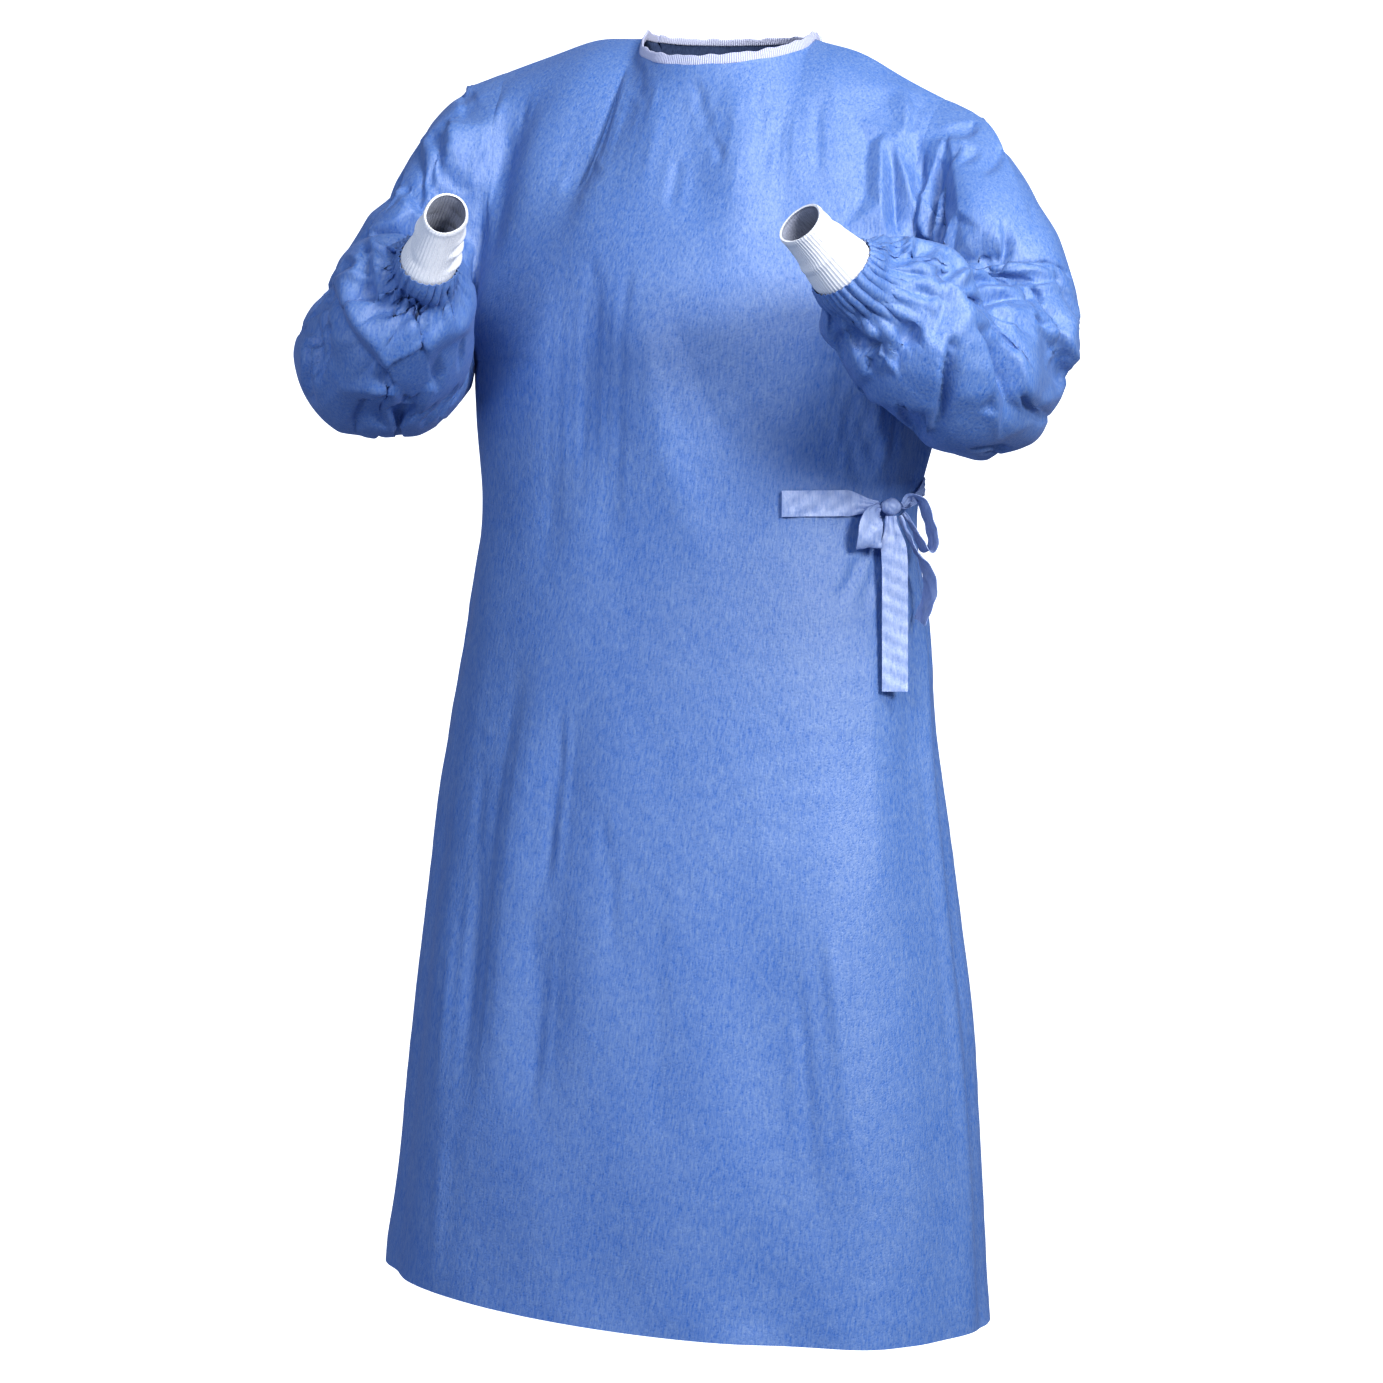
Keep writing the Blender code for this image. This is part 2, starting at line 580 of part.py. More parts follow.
def carry_frame(points, outer):
    """The outer direction carried along a path without twist."""
    along = unit(np.gradient(points, axis=0))
    frame = [unit(outer - along[0] * np.dot(outer, along[0]))]
    for direction in along[1:]:
        frame.append(unit(frame[-1] - direction * np.dot(frame[-1], direction)))
    return np.array(frame), along


def path_at(path, place, side):
    """Centre, outer and over directions at the given places of a sleeve's path."""
    points, places, (outer, along) = path
    centre = np.stack([np.interp(place, places, points[:, i]) for i in range(3)], axis=-1)
    out = unit(np.stack([np.interp(place, places, outer[:, i]) for i in range(3)], axis=-1))
    way = unit(np.stack([np.interp(place, places, along[:, i]) for i in range(3)], axis=-1))
    return centre, out, side * np.cross(way, out)


def sleeve_radius(place, theta, side):
    """Distance from the centre line: quarter ellipses of the four half sizes, and the folds."""
    sizes = read_table(SLEEVES[side], place)
    towards = np.where(np.cos(theta) > 0.0, sizes[..., 0], sizes[..., 1])
    aside = np.where(np.sin(theta) > 0.0, sizes[..., 2], sizes[..., 3])
    total = 1.0 / np.sqrt((np.cos(theta) / towards) ** 2 + (np.sin(theta) / aside) ** 2)
    for along, angle, length, spread, height in SLEEVE_FOLDS[side]:
        around = (np.degrees(theta) - angle + 180.0) % 360.0 - 180.0
        window = np.exp(-(around / spread) ** 4)
        total = total + height * window * np.exp(-((place - along) / length) ** 2)
    return total


def cuff_radius(share, theta, side):
    """An oval whose wide axis is turned against the sleeve's outer direction."""
    sizes = read_table(CUFFS[side], share)
    wide = sizes[..., 0]
    thin = sizes[..., 1]
    angle = theta - np.radians(ARMS[side]["cuff_turn"])
    return 1.0 / np.sqrt((np.cos(angle) / wide) ** 2 + (np.sin(angle) / thin) ** 2)


def sleeve_grids(loop, grids, side):
    """Outer points of a sleeve and of its cuff, a row for each ring from the armhole down."""
    arm = ARMS[side]
    path = sleeve_path(loop, arm)
    columns = len(loop)
    centre, out, over = path_at(path, np.array([-1.0]), side)
    spokes = loop - centre[0]
    theta = np.unwrap(np.arctan2(spokes @ over[0], spokes @ out[0]))
    even = np.sign(theta[-1] - theta[0]) * np.arange(columns) * 2 * np.pi / columns
    even = even + np.mean(theta - even)

    places = np.concatenate([np.linspace(0.0, 1.0, BEND_ROWS + 1),
                             np.linspace(1.0, 2.0, FOREARM_ROWS + 1)[1:]])
    mix = smoothstep(places / 1.5)[:, None]
    angles = theta[None, :] * (1.0 - mix) + even[None, :] * mix
    level = places[:, None] * np.ones(columns)
    radius = sleeve_radius(level, angles, side)
    cuff_start = cuff_radius(np.zeros_like(level), angles, side)
    near_wrist = smoothstep((level - 1.6) / 0.4)
    radius = radius * (1.0 - near_wrist) + cuff_start * near_wrist + gathers(level)
    rings = rings_about(path_at(path, places, side), radius, angles)
    sleeve = np.concatenate([upper_sleeve(loop, rings, side), rings[1:]])
    sleeve = keep_clear(sleeve, grids, side)

    shares = np.linspace(0.0, 1.0, CUFF_ROWS + 1)
    turns = np.broadcast_to(angles[-1], (len(shares), columns))
    radius = cuff_radius(shares[:, None] * np.ones(columns), turns, side)
    cuff = rings_about(path_at(path, 2.0 + shares, side), radius, turns)
    cuff[0] = sleeve[-1]
    return sleeve, cuff


def gathers(level):
    """Small pleats that fade in above the wrist seam, one for each pair of columns."""
    fade = smoothstep((level - GATHER_START) / 0.15) * smoothstep((1.999 - level) / 0.02)
    return GATHER_DEPTH * fade * np.cos(np.pi * np.arange(level.shape[1]))


def keep_clear(sleeve, grids, side):
    """Lay the sleeve against the body where it would go in.

    Each point takes the nearest point of the panels.  Where it is nearer to that point's
    level than its clearance, it moves out along that point's normal.
    """
    keys = ("front", "left" if side > 0 else "right")
    body = np.concatenate([grids[key].reshape(-1, 3) for key in keys])
    normals = np.concatenate([grid_normals(grids[key], False).reshape(-1, 3) for key in keys])
    rows = np.arange(len(sleeve))
    clearance = SLEEVE_CLEARANCE * np.clip(rows / 3.0, 0.0, 1.0)[:, None]
    apart = sleeve[:, :, None] - body
    distance = np.linalg.norm(apart, axis=-1)
    nearest = distance.argmin(axis=-1)
    height = np.sum((sleeve - body[nearest]) * normals[nearest], axis=-1)
    push = np.where(distance.min(axis=-1) < SLEEVE_NEAR, np.maximum(clearance - height, 0.0), 0.0)
    push[0] = 0.0
    return sleeve + push[..., None] * normals[nearest]


def rings_about(frame, radius, angles):
    """Points at a distance and angle round the centre line, a ring for each row."""
    centre, out, over = frame
    spokes = np.cos(angles)[..., None] * out[:, None] + np.sin(angles)[..., None] * over[:, None]
    return centre[:, None] + radius[..., None] * spokes


def upper_sleeve(loop, rings, side):
    """Rings from the armhole to the start of the bend, a cubic for each column."""
    reach = np.linalg.norm(rings[0] - loop, axis=-1, keepdims=True)
    away = unit(np.array([side * 1.0, -0.12, SLEEVE_DROP[side]]))
    arrive = unit(rings[1] - rings[0])
    t = np.linspace(0.0, 1.0, UPPER_ROWS + 1)[:, None, None]
    return hermite(loop, away * reach * SLEEVE_PUSH, rings[0], arrive * reach * 1.1, t)


# ---------------------------------------------------------------- building

def build_gown(materials):
    """All cloth walls, with the directions of their thickness shared along the seams."""
    grids = make_body_grids()
    names = {"front": "front_panel", "left": "back_left_panel", "right": "back_right_panel"}
    normals = {key: grid_normals(grids[key], False) for key in grids}
    arms = {}
    for side in (-1, 1):
        loop = armhole_loop(grids, side)
        sleeve, cuff = sleeve_grids(loop, grids, side)
        if side < 0:
            sleeve = sleeve[:, ::-1]
            cuff = cuff[:, ::-1]
        arms[side] = {"sleeve": sleeve, "cuff": cuff,
                      "normals": grid_normals(sleeve, True), "cuff_normals": grid_normals(cuff, True)}
    share_seams(normals, arms)
    edges = {"front": ("left", "right", "top"), "left": ("left", "top"), "right": ("right", "top")}
    for key, name in names.items():
        add_wall(name, pull_edges(grids[key], edges[key]), normals[key], WALL, materials["cloth"])
    for side, word in ((-1, "right"), (1, "left")):
        arm = arms[side]
        for part, first, last in SLEEVE_PARTS:
            rows = slice(first, last + 1)
            add_wall("sleeve_" + word + "_" + part,
                     pull_edges(arm["sleeve"][rows], ("bottom", "top"), SLEEVE_PULL),
                     arm["normals"][rows], WALL, materials["cloth"], closed=True)
        add_wall("cuff_" + word, pull_edges(arm["cuff"], ("bottom",)), arm["cuff_normals"],
                 KNIT_WALL, materials["knit"], closed=True)
    return grids


def share_seams(normals, arms):
    """Give the pieces that meet at a seam one common direction through the wall."""
    front, left, right = normals["front"], normals["left"], normals["right"]
    low = ROWS_DOWN
    for side, back, front_column, back_column in ((1, left, -1, 0), (-1, right, 0, -1)):
        common = unit(front[:, front_column] + back[:, back_column])
        front[:low, front_column] = common[:low]
        back[:low, back_column] = common[:low]
        cells = SHOULDER_CELLS
        if side > 0:
            top = unit(front[-1, -cells - 1:][::-1] + back[-1, :cells + 1])
            front[-1, -cells - 1:] = top[::-1]
            back[-1, :cells + 1] = top
        else:
            top = unit(front[-1, :cells + 1][::-1] + back[-1, -cells - 1:])
            front[-1, :cells + 1] = top[::-1]
            back[-1, -cells - 1:] = top
        arm = arms[side]
        panel = np.concatenate([front[low:, front_column][::-1], back[low + 1:-1, back_column]])
        panel[ROWS_UP] = unit(front[low, front_column] + back[low, back_column])
        loop = panel if side > 0 else panel[::-1]
        shared = unit(loop + arm["normals"][0])
        arm["normals"][0] = shared
        shared = shared if side > 0 else shared[::-1]
        front[low:, front_column] = shared[:ROWS_UP + 1][::-1]
        back[low, back_column] = shared[ROWS_UP]
        back[low + 1:-1, back_column] = shared[ROWS_UP + 1:]
        back[-1, back_column] = shared[0]
        joined = unit(arm["normals"][-1] + arm["cuff_normals"][0])
        arm["normals"][-1] = joined
        arm["cuff_normals"][0] = joined


def make_binding(grids, material):
    """A band that stands on the neckline, from the inner panel's end round to the flap's."""
    cells = SHOULDER_CELLS
    inner_back = grids["left"][-1, cells:][::-1]
    front = grids["front"][-1, cells:-cells][::-1]
    outer_back = grids["right"][-1, :-cells][::-1]
    path = np.concatenate([inner_back, front[1:], outer_back[1:]])
    level = path * np.array([1.0, 1.0, 0.0])
    rise = unit(np.array([0.0, 0.0, 1.0]) - BINDING_LEAN * unit(level))
    along = unit(np.gradient(path, axis=0))
    face = unit(np.cross(rise, along))
    face = face * np.sign(np.sum(face * level, axis=1, keepdims=True))
    foot = path + rise * 2.0 * EDGE_PULL
    half = BINDING_THICK / 2
    middle = foot - face * (half - 0.0006)
    profile = ((-1.0, 0.0), (1.0, 0.0), (1.0, 0.8), (0.4, 1.0), (-0.4, 1.0), (-1.0, 0.8))
    ring = np.stack([middle + face * half * a + rise * BINDING_HEIGHT * b for a, b in profile],
                    axis=1)
    return add_object("neck_binding", ring, tube_faces(len(path), len(profile)), material)


def make_fastener(grid, material):
    """A patch that joins the back panels at the neck: the inner panel's points, moved out."""
    rows, columns = np.meshgrid(len(grid) - 1 - np.array(FASTENER_ROWS), FASTENER_COLUMNS,
                                indexing="ij")
    row = rows.astype(int)
    column = np.minimum(columns.astype(int), grid.shape[1] - 2)
    row = np.minimum(row, len(grid) - 2)
    up = (rows - row)[..., None]
    across = (columns - column)[..., None]
    points = ((1 - up) * ((1 - across) * grid[row, column] + across * grid[row, column + 1])
              + up * ((1 - across) * grid[row + 1, column] + across * grid[row + 1, column + 1]))
    normals = grid_normals(points, False)
    return add_wall("neck_fastener", points + normals * FASTENER_OUT, normals,
                    FASTENER_OUT - FASTENER_GAP, material)


# ---------------------------------------------------------------- ties

def view_axes():
    """The bow's own axes: across its face, towards the one who looks at it, and up."""
    turn = np.radians(BOW_TURN)
    return np.array([(np.cos(turn), np.sin(turn), 0.0), (np.sin(turn), -np.cos(turn), 0.0),
                     (0.0, 0.0, 1.0)])


def knot_middle():
    """The middle of the knot, just outside the wearer's left front."""
    angle = np.array(KNOT_ANGLE)
    return lower_surface(angle, np.array(KNOT_Z)) + outward(angle) * KNOT_OUT


def add_bow_ribbon(name, table, material, cells=22):
    """A ribbon of the bow, on a smooth curve through its table's rows."""
    rows = np.column_stack([np.linspace(0.0, 1.0, len(table)), table])
    values = read_table(rows, np.linspace(0.0, 1.0, cells))
    axes = view_axes()
    path = knot_middle() + values[:, 0:3] * 0.001 @ axes
    return add_ribbon(name, path, values[:, 3:6] @ axes, values[:, 6] * 0.001, TAPE, material)


def add_knot(material):
    """A rounded knot, drawn out across the bow."""
    axes = view_axes()
    across = np.linspace(-1.0, 1.0, 7)
    size = (1.0 - 0.75 * across ** 2) ** 0.5
    turns = -np.arange(10) * 2 * np.pi / 10
    ring = (np.cos(turns)[:, None] * axes[1] * KNOT_HALF[1]
            + np.sin(turns)[:, None] * axes[2] * KNOT_HALF[2])
    points = (knot_middle() + across[:, None, None] * axes[0] * KNOT_HALF[0]
              + size[:, None, None] * ring[None])
    return add_object("bow_knot", points, tube_faces(7, 10), material)


def strap_on_body(angles, heights, lift):
    """Points on the cloth below the underarm, moved out."""
    return lower_surface(angles, heights) + outward(angles) * lift[:, None]


def add_front_tie(material):
    """The tie sewn on the front: flat and upright, then drawn together at the knot."""
    angles = np.linspace(FRONT_TIE_START, KNOT_ANGLE - 4.0, 14)
    share = np.linspace(0.0, 1.0, 14)
    lift = 0.0055 - 0.0025 * smoothstep(share / 0.25) + 0.0080 * smoothstep((share - 0.7) / 0.3)
    heights = TIE_Z + (KNOT_Z + 0.001 - TIE_Z) * smoothstep((share - 0.6) / 0.4)
    path = strap_on_body(angles, heights, lift)
    width = TIE_WIDTH - 0.0145 * smoothstep((share - 0.66) / 0.34)
    return add_ribbon("front_tie", path, np.tile((0.0, 0.0, 1.0), (14, 1)), width, TAPE, material)


def add_belt(material):
    """The belt: sewn on the outer back panel's edge and drawn round to the knot."""
    angles = np.linspace(BELT_START, KNOT_ANGLE + 6.5, 24)
    on_flap = smoothstep((angles - 138.0) / 12.0)
    near_knot = smoothstep((KNOT_ANGLE + 28.0 - angles) / 21.0)
    drawn = smoothstep((KNOT_ANGLE + 50.0 - angles) / 35.0)
    lift = 0.0032 + 0.0038 * on_flap + 0.0070 * near_knot
    heights = BELT_Z + (KNOT_Z + 0.002 - BELT_Z) * near_knot
    path = strap_on_body(angles, heights, lift)
    width = TIE_WIDTH - 0.0150 * drawn
    return add_ribbon("belt", path, np.tile((0.0, 0.0, 1.0), (24, 1)), width, TAPE, material)


def body_front_at(across, height):
    """How far towards the viewer the cloth stands, at a distance across from the knot."""
    angles = np.linspace(10.0, 105.0, 96)
    points = lower_surface(angles, np.full(96, height)) - knot_middle()
    axes = view_axes()
    return np.interp(across, points @ axes[0], points @ axes[1])


def add_long_tail(material):
    """The long end of the bow: straight down from the knot, clear of the cloth."""
    axes = view_axes()
    middle = knot_middle()
    drops = np.linspace(-0.0085, TAIL_END_Z - middle[2], 13)
    half = TIE_WIDTH / 2 + TAIL_ASIDE
    clear = np.array([max(body_front_at(a, middle[2] + drop) for a in (-half, 0.0, half))
                      for drop in drops]) + TAIL_CLEARANCE
    forward = np.maximum(clear, 0.004)
    forward = forward[0] + (forward[-1] - forward[0]) * np.linspace(0.0, 1.0, 13)
    forward = np.maximum(forward, clear)
    aside = TAIL_ASIDE * smoothstep(np.linspace(0.0, 1.0, 13) / 0.3)
    path = (middle + aside[:, None] * axes[0] + forward[:, None] * axes[1]
            + drops[:, None] * axes[2])
    width = TIE_WIDTH * (0.42 + 0.58 * smoothstep(np.linspace(0.0, 1.0, 13) / 0.20))
    return add_ribbon("tail_long", path, np.tile(-axes[0], (13, 1)), width, TAPE, material)


def main():
    for item in list(bpy.data.objects):
        bpy.data.objects.remove(item, do_unlink=True)
    materials = {
        "cloth": make_material("blue_nonwoven", (0.115, 0.230, 0.620), 0.75),
        "knit": make_material("white_rib_knit", (0.86, 0.86, 0.85), 0.90),
        "binding": make_material("pale_binding", (0.68, 0.70, 0.80), 0.80),
        "tape": make_material("blue_tape", (0.200, 0.340, 0.720), 0.65),
        "fastener": make_material("white_fastener", (0.80, 0.80, 0.80), 0.85),
    }
    grids = build_gown(materials)
    make_binding(grids, materials["binding"])
    make_fastener(grids["left"], materials["fastener"])
    add_front_tie(materials["tape"])
    add_belt(materials["tape"])
    add_knot(materials["tape"])
    add_bow_ribbon("loop_front", FRONT_LOOP, materials["tape"])
    add_bow_ribbon("loop_side", SIDE_LOOP, materials["tape"])
    add_bow_ribbon("tail_short", SHORT_TAIL, materials["tape"], cells=16)
    add_long_tail(materials["tape"])


main()
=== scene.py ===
"""Surgical gown: the finished cloth, knit, binding and ties on the gown's rigid frame.

Laid out as an add-on: a panel in the 3D view's sidebar lists one operator for each group of
pieces.  Lengths are in metres and angles in degrees.  The front faces -Y, +X is the wearer's
left, and the origin is the base of the neck.
"""

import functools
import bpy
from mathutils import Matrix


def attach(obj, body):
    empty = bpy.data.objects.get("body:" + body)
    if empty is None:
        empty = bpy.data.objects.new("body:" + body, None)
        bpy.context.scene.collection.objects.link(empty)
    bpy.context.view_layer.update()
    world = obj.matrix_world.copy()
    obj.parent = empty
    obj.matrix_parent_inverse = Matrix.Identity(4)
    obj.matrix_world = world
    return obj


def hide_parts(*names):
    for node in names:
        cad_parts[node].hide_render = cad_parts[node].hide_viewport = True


bl_info = {
    "name": "Surgical Gown",
    "version": (1, 0, 0),
    "blender": (4, 5, 0),
    "location": "3D View > Sidebar > Gown",
    "description": "Builds a surgical gown of nonwoven cloth with knit cuffs and a side bow",
    "category": "Mesh",
}

import bpy
import numpy as np
from mathutils import Matrix, Vector
from mathutils.geometry import delaunay_2d_cdt

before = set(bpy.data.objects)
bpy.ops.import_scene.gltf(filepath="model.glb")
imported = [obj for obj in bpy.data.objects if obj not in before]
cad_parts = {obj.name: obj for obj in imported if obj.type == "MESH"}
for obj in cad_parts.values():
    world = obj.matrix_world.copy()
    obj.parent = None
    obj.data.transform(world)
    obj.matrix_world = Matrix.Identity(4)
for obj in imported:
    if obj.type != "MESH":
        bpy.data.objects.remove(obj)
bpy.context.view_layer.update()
MM = 0.001
SIDES = ((-1, "right"), (1, "left"))     # of the wearer, and the sign of x there

# ---- neck and shoulders ----
NECK_HALF = 0.0885
NECK_FRONT_DEPTH = 0.086
NECK_BACK_DEPTH = 0.078
NECK_FRONT_Z = -0.027
NECK_BACK_Z = 0.005
NECK_SHARE = 0.42        # share of a panel's columns that end at the neck
BINDING_HEIGHT = 0.0105
BINDING_THICK = 0.0028
BINDING_LEAN = 0.30
BINDING_SINK = 0.0012    # of its lower edge below the neckline
BINDING_LOWER = 0.35     # share of its height that is missing behind
BINDING_WAVER = 0.05     # share of its height in each of two waves
BINDING_INSET = 0.0006   # of its outer face from the panels'
SHOULDERS = {            # side: neck end height, then the sleeve end
    -1: {"neck_z": 0.006, "tip_x": -0.236, "tip_z": -0.022, "arch": 0.006},
    1: {"neck_z": 0.000, "tip_x": 0.220, "tip_z": -0.060, "arch": 0.002},
}

# ---- body, one row for each level from the underarm to the hem ----
# z, middle_x, middle_y, half_width, front, back
BODY = np.array([
    (-0.310, -0.009, -0.031, 0.234, 0.146, 0.108),
    (-0.380, -0.012, -0.032, 0.230, 0.146, 0.108),
    (-0.455, -0.017, -0.035, 0.219, 0.143, 0.108),
    (-0.560, -0.019, -0.040, 0.235, 0.146, 0.112),
    (-0.700, -0.0245, -0.048, 0.2525, 0.152, 0.122),
    (-0.860, -0.0265, -0.056, 0.2745, 0.158, 0.134),
    (-1.050, -0.0270, -0.062, 0.2960, 0.163, 0.146),
    (-1.236, -0.0310, -0.066, 0.3120, 0.166, 0.156),
])
UNDERARM_Z = BODY[0, 0]
HEM_Z = BODY[-1, 0]
HEM_TILT = -0.034        # the hem falls this much for each unit towards the wearer's left
ARMHOLE_SWELL = 0.258    # how far a column beside the armhole runs to the front or back
LAYER = 0.0050           # how far the outer back panel lies outside the inner one
COLUMN_RISE = 0.27       # how steeply a column leaves the underarm's level
ARMHOLE_RISE = 0.10      # the same beside the armhole
ARMHOLE_DRAW = 0.035     # and how far it draws in there
TOP_RUN = 0.26           # how steadily a column reaches the shoulder seam
TOP_RISE = 0.10
NECK_RISE = 0.26         # and the neckline
SHOULDER_REACH = 0.05    # how far it also runs outwards at the sleeve end
FOLD_RADIUS = 0.21       # turns an angle between folds into a distance

# ---- soft troughs (-) and ridges (+) of the body ----
# top_angle, top_z, low_angle, low_z, width, height
FOLDS = np.array([
    (-37, -0.010, -38, -0.180, 0.012, -0.0070),
    (-28, -0.010, -29, -0.220, 0.020, 0.0050),
    (-6, -0.030, 9, -0.200, 0.018, -0.0050),
    (15, -0.030, 17, -0.260, 0.020, 0.0050),
    (27, -0.020, 32, -0.240, 0.020, -0.0045),
    (-29, -0.200, -31, -0.560, 0.016, -0.0050),
    (-18, -0.220, -21, -0.480, 0.014, -0.0045),
    (-14, -0.210, 14, -0.520, 0.026, 0.0050),
    (42, -0.280, 62, -0.470, 0.012, -0.0060),
    (54, -0.300, 68, -0.470, 0.010, 0.0050),
    (-35, -0.560, -40, -1.060, 0.016, -0.0070),
    (-30, -0.600, -34, -1.120, 0.024, 0.0050),
    (-20, -0.700, -22, -1.080, 0.026, -0.0035),
    (28, -0.760, 34, -1.500, 0.034, -0.0060),
    (44, -0.640, 50, -1.500, 0.030, 0.0060),
    (-62, -0.560, -66, -1.500, 0.026, -0.0070),
    (72, -0.560, 74, -1.500, 0.034, -0.0060),
    (108, -0.520, 106, -1.500, 0.040, 0.0080),
    (128, -0.300, 131, -1.500, 0.034, -0.0090),
    (150, -0.140, 149, -0.420, 0.026, 0.0050),
    (152, -0.520, 156, -1.500, 0.040, 0.0080),
    (178, -0.120, 180, -1.500, 0.036, -0.0080),
    (202, -0.200, 203, -1.500, 0.036, 0.0070),
    (226, -0.140, 226, -1.500, 0.034, -0.0090),
    (248, -0.500, 250, -1.500, 0.038, 0.0080),
])

# x, z, reach and rise of the cloth that stands over the shoulders
SHOULDER_LIFTS = (
    (-0.135, -0.030, 0.035, 0.006),
    (0.135, -0.035, 0.035, 0.006),
)

# ---- back wrap ----
FLAP_SHARE = 0.31        # the outer, right back panel runs this far past the centre back
UNDER_SHARE = -0.33      # the inner, left back panel runs this far the other way
FLAP_FLARE = 0.010       # how far the flap's free edge stands away at the hem
FLARE_ANGLE = 25.0       # how far from that edge the flare reaches
FLARE_TOP = -0.50        # where it starts, and the height that it grows over
FLARE_RUN = 0.7
OVERLAP_ANGLE = 11.0     # over which the outer panel rises from the shoulder's seam
FASTENER_ROWS = np.array((2.4, 0.5))     # twelfths of the upper rows, from the neckline down
FASTENER_COLUMNS = np.array((5.1, 6.9))  # sevenths of the columns beyond the shoulder
FASTENER_GAP = 0.0003
FASTENER_OUT = 0.0015

# ---- sleeves ----
ARMS = {                 # crook of the elbow, wrist, end of the cuff
    -1: {"crook": (-0.260, -0.130, -0.250), "wrist": (-0.189, -0.300, -0.219),
         "cuff_end": (-0.158, -0.328, -0.176), "cuff_turn": -11.0},
    1: {"crook": (0.248, -0.134, -0.246), "wrist": (0.2187, -0.320, -0.2299),
        "cuff_end": (0.190, -0.355, -0.190), "cuff_turn": 20.0},
}
BEND_RADIUS = 0.074      # of the sleeve's centre line round the crook
# along (0 start of the bend, 1 its end, 2 the wrist), outer, crook_side, over, under
SLEEVES = {
    -1: np.array([
        (0.00, 0.080, 0.062, 0.098, 0.062),
        (0.40, 0.080, 0.062, 0.096, 0.073),
        (0.80, 0.078, 0.062, 0.088, 0.075),
        (1.10, 0.077, 0.062, 0.080, 0.075),
        (1.50, 0.077, 0.060, 0.070, 0.062),
        (1.80, 0.054, 0.050, 0.052, 0.052),
        (2.00, 0.036, 0.035, 0.034, 0.034),
    ]),
    1: np.array([
        (0.00, 0.080, 0.062, 0.099, 0.066),
        (0.40, 0.090, 0.062, 0.089, 0.080),
        (0.80, 0.096, 0.062, 0.076, 0.086),
        (1.10, 0.095, 0.062, 0.070, 0.080),
        (1.50, 0.084, 0.060, 0.068, 0.072),
        (1.80, 0.056, 0.050, 0.052, 0.052),
        (2.00, 0.036, 0.035, 0.034, 0.034),
    ]),
}
# along, angle (0 outside of the elbow, 90 its upper side, 180 crook), length, spread, height
CROOK_FOLDS = [
    (0.10, 180, 0.07, 75, -0.0080),
    (0.30, 175, 0.07, 85, 0.0060),
    (0.50, 180, 0.07, 85, -0.0070),
    (0.72, 185, 0.07, 80, 0.0060),
    (0.93, 180, 0.08, 75, -0.0080),
    (1.20, 175, 0.10, 70, 0.0050),
]
SLEEVE_FOLDS = {
    -1: CROOK_FOLDS + [
        (0.60, 45, 0.50, 60, 0.0100),
        (0.35, 95, 0.10, 45, -0.0060),
        (1.25, 70, 0.12, 50, -0.0060),
        (1.50, 150, 0.12, 60, 0.0050),
        (1.00, 320, 0.14, 50, -0.0060),
    ],
    1: CROOK_FOLDS + [
        (0.30, 60, 0.10, 55, -0.0050),
        (0.62, 90, 0.08, 60, -0.0060),
        (0.95, 70, 0.10, 60, 0.0060),
        (1.30, 110, 0.10, 60, -0.0070),
        (1.52, 60, 0.10, 60, 0.0050),
        (0.80, 320, 0.14, 60, -0.0060),
    ],
}
CUFFS = {                # share of the cuff's length, wide half, thin half
    -1: np.array([
        (0.00, 0.0370, 0.0275),
        (0.30, 0.0345, 0.0235),
        (0.60, 0.0325, 0.0215),
        (1.00, 0.0310, 0.0195),
    ]),
    1: np.array([
        (0.00, 0.0375, 0.0310),
        (0.30, 0.0350, 0.0275),
        (0.60, 0.0305, 0.0240),
        (1.00, 0.0290, 0.0215),
    ]),
}
GATHER_REACH = 0.13      # how far the pleats run up from the wrist, as a share of the forearm
SLEEVE_DROP = {-1: -0.28, 1: -0.36}      # fall of the sleeve's cap for each unit outwards
SLEEVE_ARRIVE = 1.1      # pull of the cap's end along the arm, in shares of its length
SLEEVE_CLEARANCE = 0.003 # between a sleeve and the body it lies against
SLEEVE_OVER_CUFF = 0.05  # share of the cuff's length that it blouses over
CUFF_BLEND = 0.4         # share of the forearm over which it takes the cuff's oval
CUFF_ROOM = 0.0012       # that it keeps round the cuff there
SLEEVE_FOLD_RADIUS = 0.08        # turns an angle between its folds into a distance
CLEARANCE_ROWS = 18.0    # from the armhole, over which its clearance grows
SLEEVE_NEAR = 0.045      # sleeve points farther than this from the body are left alone
BODY_LEAST_X = 0.10      # the body nearer to its middle than this is left out of it

# ---- ties, in millimetres from the knot: across the view, towards the viewer, up ----
TIE_WIDTH = 0.0245
TIE_THICK = 0.0007
RIBBON_WAVE = 0.00035    # of the cloth all along a ribbon
# folds along a ribbon where it is pinched, count and height, and how much narrower it is there
FRONT_TIE_PLEATS, FRONT_TIE_PINCH = (3.0, 0.0011), 0.0145
BELT_PLEATS, BELT_PINCH = (3.0, 0.0010), 0.0150
BOW_PLEATS, TAIL_PINCH = (2.5, 0.0009), 0.58     # a share of its width
